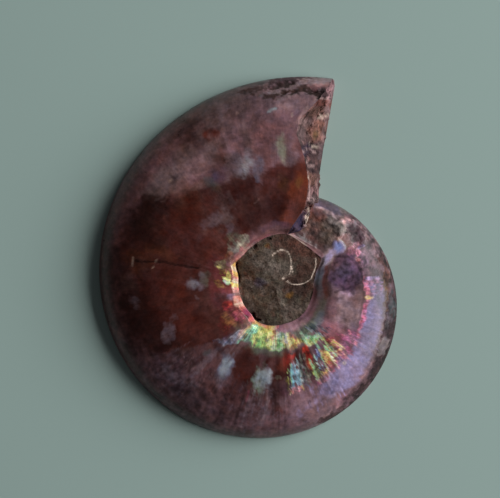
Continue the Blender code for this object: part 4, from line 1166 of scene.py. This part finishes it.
def paintStone():
    points = canvas["points"]
    mottle, more, rest, last = (grain(points + (0, 0, 90 + 8.0 * step), 1.5, 2) for step in range(4))
    paint(np.ones(len(points)), "stone", 1.0, stonePart, 0, worn=0.0)
    broad, second = canvas["broad"][:2]
    paint(smooth(0.4 + 1.6 * broad), "greenStone", 0.7, stonePart)
    paint(smooth(0.2 + 2.0 * second), "brownStone", 0.5, stonePart)
    paint(smooth(0.2 + 2.2 * mottle), "darkStone", 0.55, stonePart)
    paint(smooth(0.1 + 2.2 * more), "brownStone", 0.55, stonePart)
    paint(smooth(0.0 + 2.4 * rest), "paleStone", 0.45, stonePart)
    paint(smooth(-0.5 + 2.6 * last), "rust", 0.45, stonePart)
    for shade, strength, width, stray, route in stonePatches:
        paint(stroke(onStone(route), width, 0.6, stray), shade, strength, stonePart)
    for angle, radius in stoneFlecks:
        fleck = onStone(((angle, radius), (angle + 2, radius + 0.1)))
        paint(stroke(fleck, width=0.34, edge=0.6, stray=0.25), "paleStone", 0.9, stonePart)
    for route in earlyWhorls:
        wall = stroke(onStone(route), width=0.17, edge=0.5, stray=0.03)
        paint(wall, "cream", 0.95, stonePart, ragged=0.15, relief=0.05)
    broken = smooth(0.8 + 2.0 * mottle)  # the gaps at the wall come and go
    for route, width, edge, stray, comesAndGoes, relief in gaps:
        gap = stroke(onStone(route), width, edge, stray)
        # the crevices are painted near black: painted shade in them
        paint(broken * gap if comesAndGoes else gap, "nearBlack", 0.9, stonePart, relief=relief)


def facets(size):  # broken crystal: each face's own tilt as a lift in mm, and each face's own shade
    lift, shade = np.zeros(len(canvas["points"])), np.ones(len(canvas["points"]))
    for index in np.flatnonzero(canvas["part"] == breakPart):
        point = Vector(canvas["points"][index]) / size
        heart = noise.voronoi(point)[1][0]
        tilt = noise.noise_vector(heart * 9.7)
        lift[index] = size * (0.9 * tilt.dot(point - heart) + 0.35 * tilt.z)
        shade[index] = 1 + 1.5 * noise.noise(heart * 13.3)
    return lift, shade


def paintBreak():
    paint(np.ones(len(canvas["points"])), "crushedBrown", 1.0, breakPart, worn=1.0)
    for shade, strength, along, across, edge, stray in breakPatches:
        paint(oval(along, across, 0, edge, stray), shade, strength, breakPart)
    for size in (1.5, 0.6):
        lift, shade = facets(size)
        inside = smooth((canvas["points"][:, 2] - 0.3) / 1.5) * smooth((1 - canvas["across"]) / 0.08)
        inside *= 1 - oval(*hollow, 0, 0.2)  # the hollow is smooth
        canvas["relief"] += np.clip(0.6 * lift, -0.5, 0.35) * inside
        canvas["tint"] *= 1 + inside[:, None] * (np.clip(shade, 0.35, 1.7)[:, None] ** 0.8 - 1)
    for shade, strength, along, across, edge, stray in cavities:
        paint(oval(along, across, 0, edge, stray), shade, strength, breakPart, relief=-0.25)
    for shade, strength, width, edge, stray, route in breakVeins:
        paint(stroke(onShell(route), width, edge, stray), shade, strength, breakPart, relief=0.06)


def roughen():  # the worn and broken parts stand uneven, and the fan of rays is faintly folded
    points, worn = canvas["points"], canvas["worn"]
    canvas["relief"] += worn * (0.10 * grain(points, 0.9) + 0.06 * grain(points, 0.35, 3))
    canvas["relief"] += (canvas["part"] == stonePart) * 0.16 * grain(points, 1.3, 2)
    shell = canvas["part"] == shellPart
    place, angle = placesAt(0.9)[:2]
    canvas["relief"] -= shell * np.minimum(dents(angle, np.hypot(*place.T), lostShell), 0.8 * points[:, 2])
    fan = shell * oval((262, 335), (0.1, 0.75), 0, 0.5, 0.0)
    canvas["relief"] += fan * 0.05 * np.sin(np.radians(canvas["along"] * 40))
    canvas["relief"] += 0.012 * grain(points, 2.4, 3) * (canvas["across"] > 0.02)


def shapeAmmonite():
    mesh = bmesh.new()
    layers = [mesh.verts.layers.float.new(name) for name in ("along", "across")]
    gridOfShell(mesh, *layers)
    print("whorl and break:", len(mesh.verts), "points")
    ring = min(openLoops(mesh), key=reach)
    fillUmbilicus(mesh, ring, *layers)
    closeSawnFace(mesh)
    bmesh.ops.recalc_face_normals(mesh, faces=mesh.faces)
    if mesh.calc_volume(signed=True) < 0:
        bmesh.ops.reverse_faces(mesh, faces=mesh.faces)
    mesh.normal_update()
    print("closed:", len(mesh.verts), "points,", len(mesh.faces), "faces")
    return mesh, layers


def partOf(vert):  # the stone or the break only where nothing but stone or break meets
    parts = {face.material_index for face in vert.link_faces} - {sawnPart}
    return parts.pop() if len(parts) == 1 else shellPart


def paintAndRoughen(mesh, layers):
    points = np.array([vert.co for vert in mesh.verts])
    along, across = (np.array([vert[layer] for vert in mesh.verts]) for layer in layers)
    part = np.array([partOf(vert) for vert in mesh.verts])
    startCanvas(points, along, across, part)
    paintShell()
    lightAndMottle()
    paintStone()
    paintBreak()
    roughen()
    sawn = points[:, 2] < 1e-4
    for vert, relief, onCut in zip(mesh.verts, canvas["relief"], sawn):
        if not onCut:
            vert.co += vert.normal * relief
            vert.co.z = max(vert.co.z, whorl["lift"])
    print("painted:", canvas["turn"], "markings")


def placeInBox(mesh):  # the smooth outline's box is put on the solid's, and millimetres become metres
    edge = onWhorl(np.linspace(0, 1, 2000), np.ones(2000))[0][:, :2]
    middle = (edge.max(0) + edge.min(0)) / 2
    shift = Vector((*middle, 0))
    aim = Vector(((low.x + high.x) / 2, (low.y + high.y) / 2, low.z))
    whorl["pole"] = np.array(aim - shift * mm)
    for vert in mesh.verts:
        vert.co = (vert.co - shift) * mm + aim


class Signal:  # what a node gives out, used in sums like a number
    def __init__(self, tree, socket):
        self.tree, self.socket = tree, socket

    def math(self, operation, *others):
        return put(self.tree, "Math", dict(enumerate((self, *others))), operation=operation)[0]

    def __add__(self, other):
        return self.math("ADD", other)

    def __sub__(self, other):
        return self.math("SUBTRACT", other)

    def __mul__(self, other):
        return self.math("MULTIPLY", other)

    def __truediv__(self, other):
        return self.math("DIVIDE", other)

    def __rsub__(self, number):
        return put(self.tree, "Math", {0: number, 1: self}, operation="SUBTRACT")[0]

    def __rtruediv__(self, number):
        return put(self.tree, "Math", {0: number, 1: self}, operation="DIVIDE")[0]

    def spread(self, low, high, newLow=0.0, newHigh=1.0):
        inputs = {"Value": self, "From Min": low, "From Max": high, "To Min": newLow, "To Max": newHigh}
        return put(self.tree, "MapRange", inputs)[0]

    def vary(self, low, high, amount):  # about 1, by that much less and more
        return self.spread(low, high, 1 - amount, 1 + amount)


def plug(node, inputs):  # sets or links the node's sockets, and returns its outputs by name and by number
    tree = node.id_data
    for name, value in inputs.items():
        if isinstance(value, Signal):
            tree.links.new(value.socket, node.inputs[name])
        else:
            node.inputs[name].default_value = value
    outputs = [(socket.name, Signal(tree, socket)) for socket in node.outputs]
    return {**dict(outputs), **{number: signal for number, (_, signal) in enumerate(outputs)}}


def put(tree, kind, inputs=None, **settings):
    node = tree.nodes.new("ShaderNode" + kind)
    for name, value in settings.items():
        setattr(node, name, value)
    return plug(node, inputs or {})


def blend(share, first, second, kind="MIX"):
    return put(first.tree, "Mix", {0: share, 6: first, 7: second}, data_type="RGBA", blend_type=kind)[2]


def lit(colour, red, green, blue):
    light = put(colour.tree, "CombineXYZ", {"X": red, "Y": green, "Z": blue})[0]
    return blend(1.0, colour, light, "MULTIPLY")


def bump(height, strength, depth):
    return put(height.tree, "Bump", {"Height": height, "Strength": strength, "Distance": depth * mm})[0]


def attribute(tree, name, output="Fac"):
    return put(tree, "Attribute", attribute_name=name)[output]


def makeMineralGrain():  # mottling and flecks at a size given in millimetres
    group = bpy.data.node_groups.new("mineralGrain", "ShaderNodeTree")
    group.interface.new_socket("Size", in_out="INPUT", socket_type="NodeSocketFloat").default_value = 1.0
    for name in ("Mottle", "Fleck", "Pit"):
        group.interface.new_socket(name, in_out="OUTPUT", socket_type="NodeSocketFloat")
    fineness = 1 / mm / plug(group.nodes.new("NodeGroupInput"), {})["Size"]
    place = put(group, "TexCoord")["Object"]
    coarse = {"Vector": place, "Scale": fineness, "Detail": 6.0, "Roughness": 0.62}
    fine = {"Vector": place, "Scale": fineness * 2.7, "Detail": 3.0, "Roughness": 0.6}
    mottle, fleck = (put(group, "TexNoise", inputs)["Fac"] for inputs in (coarse, fine))
    cell = put(group, "TexVoronoi", {"Vector": place, "Scale": fine["Scale"], "Randomness": 1.0})["Distance"]
    given = {"Mottle": mottle, "Fleck": fleck.spread(0.60, 0.74), "Pit": cell.spread(0.12, 0.5)}
    plug(group.nodes.new("NodeGroupOutput"), given)
    return group


def grainNodes(tree, group, *sizes):
    for size in sizes:
        node = tree.nodes.new("ShaderNodeGroup")
        node.node_tree = group
        yield plug(node, {"Size": size})


def newMaterial(name):
    material = bpy.data.materials.new(name)
    material.use_nodes = True
    tree = material.node_tree
    return material, tree, tree.nodes["Principled BSDF"]


shellFinish = {
    "mottle": 0.42,
    "lines": 0.13,
    "tear": 0.5,
    "hueShift": 0.25,
    "flash": 0.9,
    "dust": 0.015,
    "dustColour": (0.42, 0.34, 0.33, 1),
    "coat": 0.1,
    "bumpDepth": 0.1,  # mm
}


def polishedShell(grainGroup):
    material, tree, surface = newMaterial("polishedShell")
    fire, worn, covered = (attribute(tree, name) for name in ("fire", "worn", "cover"))
    broad, fine, warmth, glint, spark = grainNodes(tree, grainGroup, 2.4, 0.5, 1.3, 0.8, 0.3)
    route = {"X": attribute(tree, "along") * 1.1, "Y": attribute(tree, "across") * 4.0}
    place = put(tree, "CombineXYZ", route)[0]
    lines = put(tree, "TexNoise", {"Vector": place, "Scale": 1.0, "Detail": 5.0, "Roughness": 0.66})["Fac"]
    # the veil is torn along the growth lines
    tear = (lines + fine["Mottle"] - 1.0) * shellFinish["tear"] * (fire * 0.7 + 0.3)
    cover = (covered + tear).spread(0.12, 0.88)
    colour = blend(cover, attribute(tree, "tint", "Color"), attribute(tree, "veil", "Color"))
    # mottling, light and dark, warm and cool, calmer in the veil
    mottle = broad["Mottle"] + 0.5 + (fine["Mottle"] - 0.5) * (covered * -0.35 + 0.8)
    light = mottle.vary(0.7, 1.3, shellFinish["mottle"]) * lines.vary(0.3, 0.7, shellFinish["lines"])
    warm, cool = (warmth["Mottle"].vary(0.3, 0.7, amount) for amount in (0.08, -0.10))
    colour = lit(colour, light * warm, light, light * cool)
    # the fire breaks into flakes of other hues, and painted glints brighten some of them
    hue = (glint["Mottle"] - 0.5) * fire * shellFinish["hueShift"] + 0.5
    flash = (spark["Mottle"] + lines).spread(0.75, 1.25, -shellFinish["flash"], shellFinish["flash"])
    saturation, value = fire * 0.05 + 1.0, fire * (flash * 0.6) + 1.0
    flakes = {"Hue": hue, "Saturation": saturation, "Value": value, "Color": colour}
    colour = put(tree, "HueSaturation", flakes)[0]
    colour = blend(fine["Fleck"] * (worn * 0.3 + shellFinish["dust"]), colour, shellFinish["dustColour"])
    height = worn * fine["Mottle"] * 3.0 + (lines * 0.25 + fine["Mottle"] * 0.35)
    plug(surface, {
        "Base Color": colour,
        "Roughness": worn * 0.5 + broad["Mottle"].spread(0.3, 0.7, 0.26, 0.38),
        "Coat Weight": worn.spread(0, 1, shellFinish["coat"], 0),
        "Coat Roughness": 0.2,
        "Specular IOR Level": 0.3,
        "Metallic": fire * 0.3,
        "Normal": bump(height, 0.6, shellFinish["bumpDepth"]),
    })
    return material


# Size in mm of the grain, contrast, and the colours of its flecks and holes
crystalBreak = {"size": 0.8, "contrast": 0.45, "pale": (0.5, 0.38, 0.33, 1), "dark": (0.04, 0.025, 0.02, 1)}
stoneFilling = {"size": 0.7, "contrast": 0.75, "pale": (0.4, 0.34, 0.29, 1), "dark": (0.02, 0.016, 0.014, 1)}


def roughMineral(name, grainGroup, finish):
    material, tree, surface = newMaterial(name)
    coarse, fine = grainNodes(tree, grainGroup, finish["size"], finish["size"] * 0.4)
    light = (coarse["Mottle"] + fine["Mottle"]).vary(0.7, 1.3, finish["contrast"])
    colour = lit(attribute(tree, "tint", "Color"), light, light, light)
    colour = blend(fine["Fleck"] * 0.3, colour, finish["pale"])
    colour = blend(coarse["Pit"].spread(0.0, 0.35, 0.55, 0.0), colour, finish["dark"])
    plug(surface, {
        "Base Color": colour,
        "Roughness": fine["Mottle"].spread(0.3, 0.7, 0.62, 0.9),
        "Specular IOR Level": 0.2,
        "Normal": bump(coarse["Mottle"] + fine["Mottle"] * 0.5, 0.9, 0.25),
    })
    return material


sawnFinish = {
    "septumEvery": 19.0,  # degrees from one chamber wall to the next
    "septumBulge": 2.2,
    "wall": 0.42,  # mm
    "septum": 0.2,
    "contrast": 0.38,
    "wallColour": (0.055, 0.026, 0.016, 1),
    "lining": (0.50, 0.34, 0.19, 1),
    "band": (0.30, 0.17, 0.09, 1),
    "heart": (0.66, 0.58, 0.50, 1),
    "fillings": (
        (0.46, 0.33, 0.22), (0.2, 0.075, 0.035), (0.56, 0.47, 0.38), (0.3, 0.14, 0.06), (0.1, 0.075, 0.065),
        (0.62, 0.52, 0.42), (0.38, 0.2, 0.09),
    ),
}


def nearestWall(share, width):  # how far the walls at 0 and 1 are, when the whole way is this wide
    return share.math("MINIMUM", 1.0 - share) * width


def fillChambers(tree, chamber):  # a filling for each chamber, by chance
    chance = put(tree, "TexWhiteNoise", {"W": chamber}, noise_dimensions="1D")["Value"]
    ramp = tree.nodes.new("ShaderNodeValToRGB")
    stops = ramp.color_ramp.elements
    ramp.color_ramp.interpolation = "CONSTANT"
    for index, filling in enumerate(sawnFinish["fillings"]):
        stop = stops[index] if index < 2 else stops.new(0.5)
        stop.position = index / len(sawnFinish["fillings"])
        stop.color = (*filling, 1)
    return plug(ramp, {"Fac": chance})[0]


def sawnShell(grainGroup):  # the whorls and chambers of the same spiral
    material, tree, surface = newMaterial("sawnFace")
    inMillimetres = {"Location": tuple(-whorl["pole"] / mm), "Scale": (1 / mm,) * 3}
    place = put(tree, "Mapping", {"Vector": put(tree, "TexCoord")["Object"], **inMillimetres})[0]
    coarse, fine = grainNodes(tree, grainGroup, 3.0, 0.6)
    parts = put(tree, "SeparateXYZ", {0: place})
    radius = put(tree, "VectorMath", {0: place}, operation="LENGTH")["Value"].math("MAXIMUM", 0.2)
    turns = (whorl["mouthRadius"] / radius).math("LOGARITHM", whorl["growth"])
    angle = parts[1].math("ARCTAN2", parts[0]) / (2 * math.pi)
    inward = (turns - (angle - whorl["mouthAngle"] / 360) + 8.0).math("FRACT")  # 8 turns keep it above 0
    bulge = (inward - 0.45).math("ABSOLUTE").math("POWER", 2.0)
    count = (turns - inward) * (360 / sawnFinish["septumEvery"]) + 40.0  # so do 40 chambers
    count = bulge * sawnFinish["septumBulge"] + count + (coarse["Mottle"] - 0.5) * 0.35
    toWall = nearestWall(inward, radius * math.log(whorl["growth"]))
    toSeptum = nearestWall(count.math("FRACT"), radius * math.radians(sawnFinish["septumEvery"]))
    # calcite grew inwards from the walls in bands
    depth = toWall.math("MINIMUM", toSeptum)
    lining = (depth + fine["Mottle"] * 0.5).spread(0.5, 1.5, 0.75, 0.0)
    band = ((depth * 1.6 + coarse["Mottle"] * 3.0) * 5.0).math("SINE") * 0.5 + 0.5
    heart = (depth + coarse["Mottle"] * 2.0).spread(2.2, 3.2)
    colour = fillChambers(tree, count.math("FLOOR"))
    for share, name in ((lining, "lining"), (band * 0.3, "band"), (heart * 0.7, "heart")):
        colour = blend(share, colour, sawnFinish[name])
    light = (coarse["Mottle"] + fine["Mottle"]).vary(0.7, 1.3, sawnFinish["contrast"])
    colour = lit(colour, light, light, light)
    walls = toWall.spread(sawnFinish["wall"], sawnFinish["wall"] * 0.6)
    septa = toSeptum.spread(sawnFinish["septum"], sawnFinish["septum"] * 0.5)
    colour = blend(walls.math("MAXIMUM", septa), colour, sawnFinish["wallColour"])
    plug(surface, {"Base Color": colour, "Roughness": 0.16, "Normal": bump(fine["Mottle"], 0.15, 0.05)})
    return material


def makeAmmonite():
    mesh, layers = shapeAmmonite()
    paintAndRoughen(mesh, layers)
    placeInBox(mesh)
    data = bpy.data.meshes.new("ammoniteFossil")
    mesh.to_mesh(data)
    mesh.free()
    for name in ("tint", "veil"):
        colours = np.column_stack((canvas[name], np.ones(len(canvas[name]))))
        data.attributes.new(name, "FLOAT_COLOR", "POINT").data.foreach_set("color", colours.ravel())
    for name in ("cover", "fire", "worn"):
        data.attributes.new(name, "FLOAT", "POINT").data.foreach_set("value", canvas[name])
    data.shade_smooth()
    data.set_sharp_from_angle(angle=math.radians(whorl["sharpFrom"]))
    piece = bpy.data.objects.new("ammoniteFossil", data)
    bpy.context.scene.collection.objects.link(piece)
    grainGroup = makeMineralGrain()
    data.materials.append(polishedShell(grainGroup))
    data.materials.append(roughMineral("brokenMouth", grainGroup, crystalBreak))
    data.materials.append(roughMineral("umbilicusStone", grainGroup, stoneFilling))
    data.materials.append(sawnShell(grainGroup))
    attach(piece, "root")
    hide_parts("ammonite_half")
    print("ammonite made:", len(data.polygons), "faces")


studio = {
    "viewWidth": 83.1,  # mm seen across at the table
    "aim": (0.33, 1.41),  # mm from the middle of the object's box
    "cameraHeight": 0.9,
    "floorSize": 2.0,
    "floorRoughness": 0.8,
    "sky": (0.96, 0.95, 1.0, 1),
    "skyStrength": 0.05,
}
# A broad low window on the right: place in metres from the shell, width, height, power
window = {"place": (0.86, 0.21, 0.495), "width": 1.24, "height": 0.62, "power": 13.6}


def setStudio():
    scene = bpy.context.scene
    middle = (low + high) / 2
    aim = Vector((middle.x + studio["aim"][0] * mm, middle.y + studio["aim"][1] * mm, low.z))
    camera = bpy.data.objects.new("camera", bpy.data.cameras.new("camera"))
    camera.location = aim + Vector((0, 0, studio["cameraHeight"]))
    camera.data.lens = camera.data.sensor_width * studio["cameraHeight"] / (studio["viewWidth"] * mm)
    scene.collection.objects.link(camera)
    scene.camera = camera
    light = bpy.data.lights.new("window", "AREA")
    light.shape, light.energy = "RECTANGLE", window["power"]
    light.size, light.size_y = window["width"], window["height"]
    lamp = bpy.data.objects.new("window", light)
    lamp.location = window["place"]
    lamp.rotation_euler = (aim - lamp.location).to_track_quat("-Z", "Y").to_euler()
    scene.collection.objects.link(lamp)
    scene.world = bpy.data.worlds.new("sky")
    scene.world.use_nodes = True
    background = scene.world.node_tree.nodes["Background"]
    background.inputs["Color"].default_value = studio["sky"]
    background.inputs["Strength"].default_value = studio["skyStrength"]
    scene.view_settings.view_transform = "Standard"


def layFloor():
    mesh = bmesh.new()
    bmesh.ops.create_grid(mesh, x_segments=1, y_segments=1, size=studio["floorSize"])
    data = bpy.data.meshes.new("floor")
    mesh.to_mesh(data)
    mesh.free()
    floor = bpy.data.objects.new("floor", data)
    bpy.context.scene.collection.objects.link(floor)
    material, _, surface = newMaterial("paleTable")
    plug(surface, {"Base Color": (*linear("table"), 1), "Roughness": studio["floorRoughness"]})
    data.materials.append(material)


setStudio()
layFloor()
makeAmmonite()
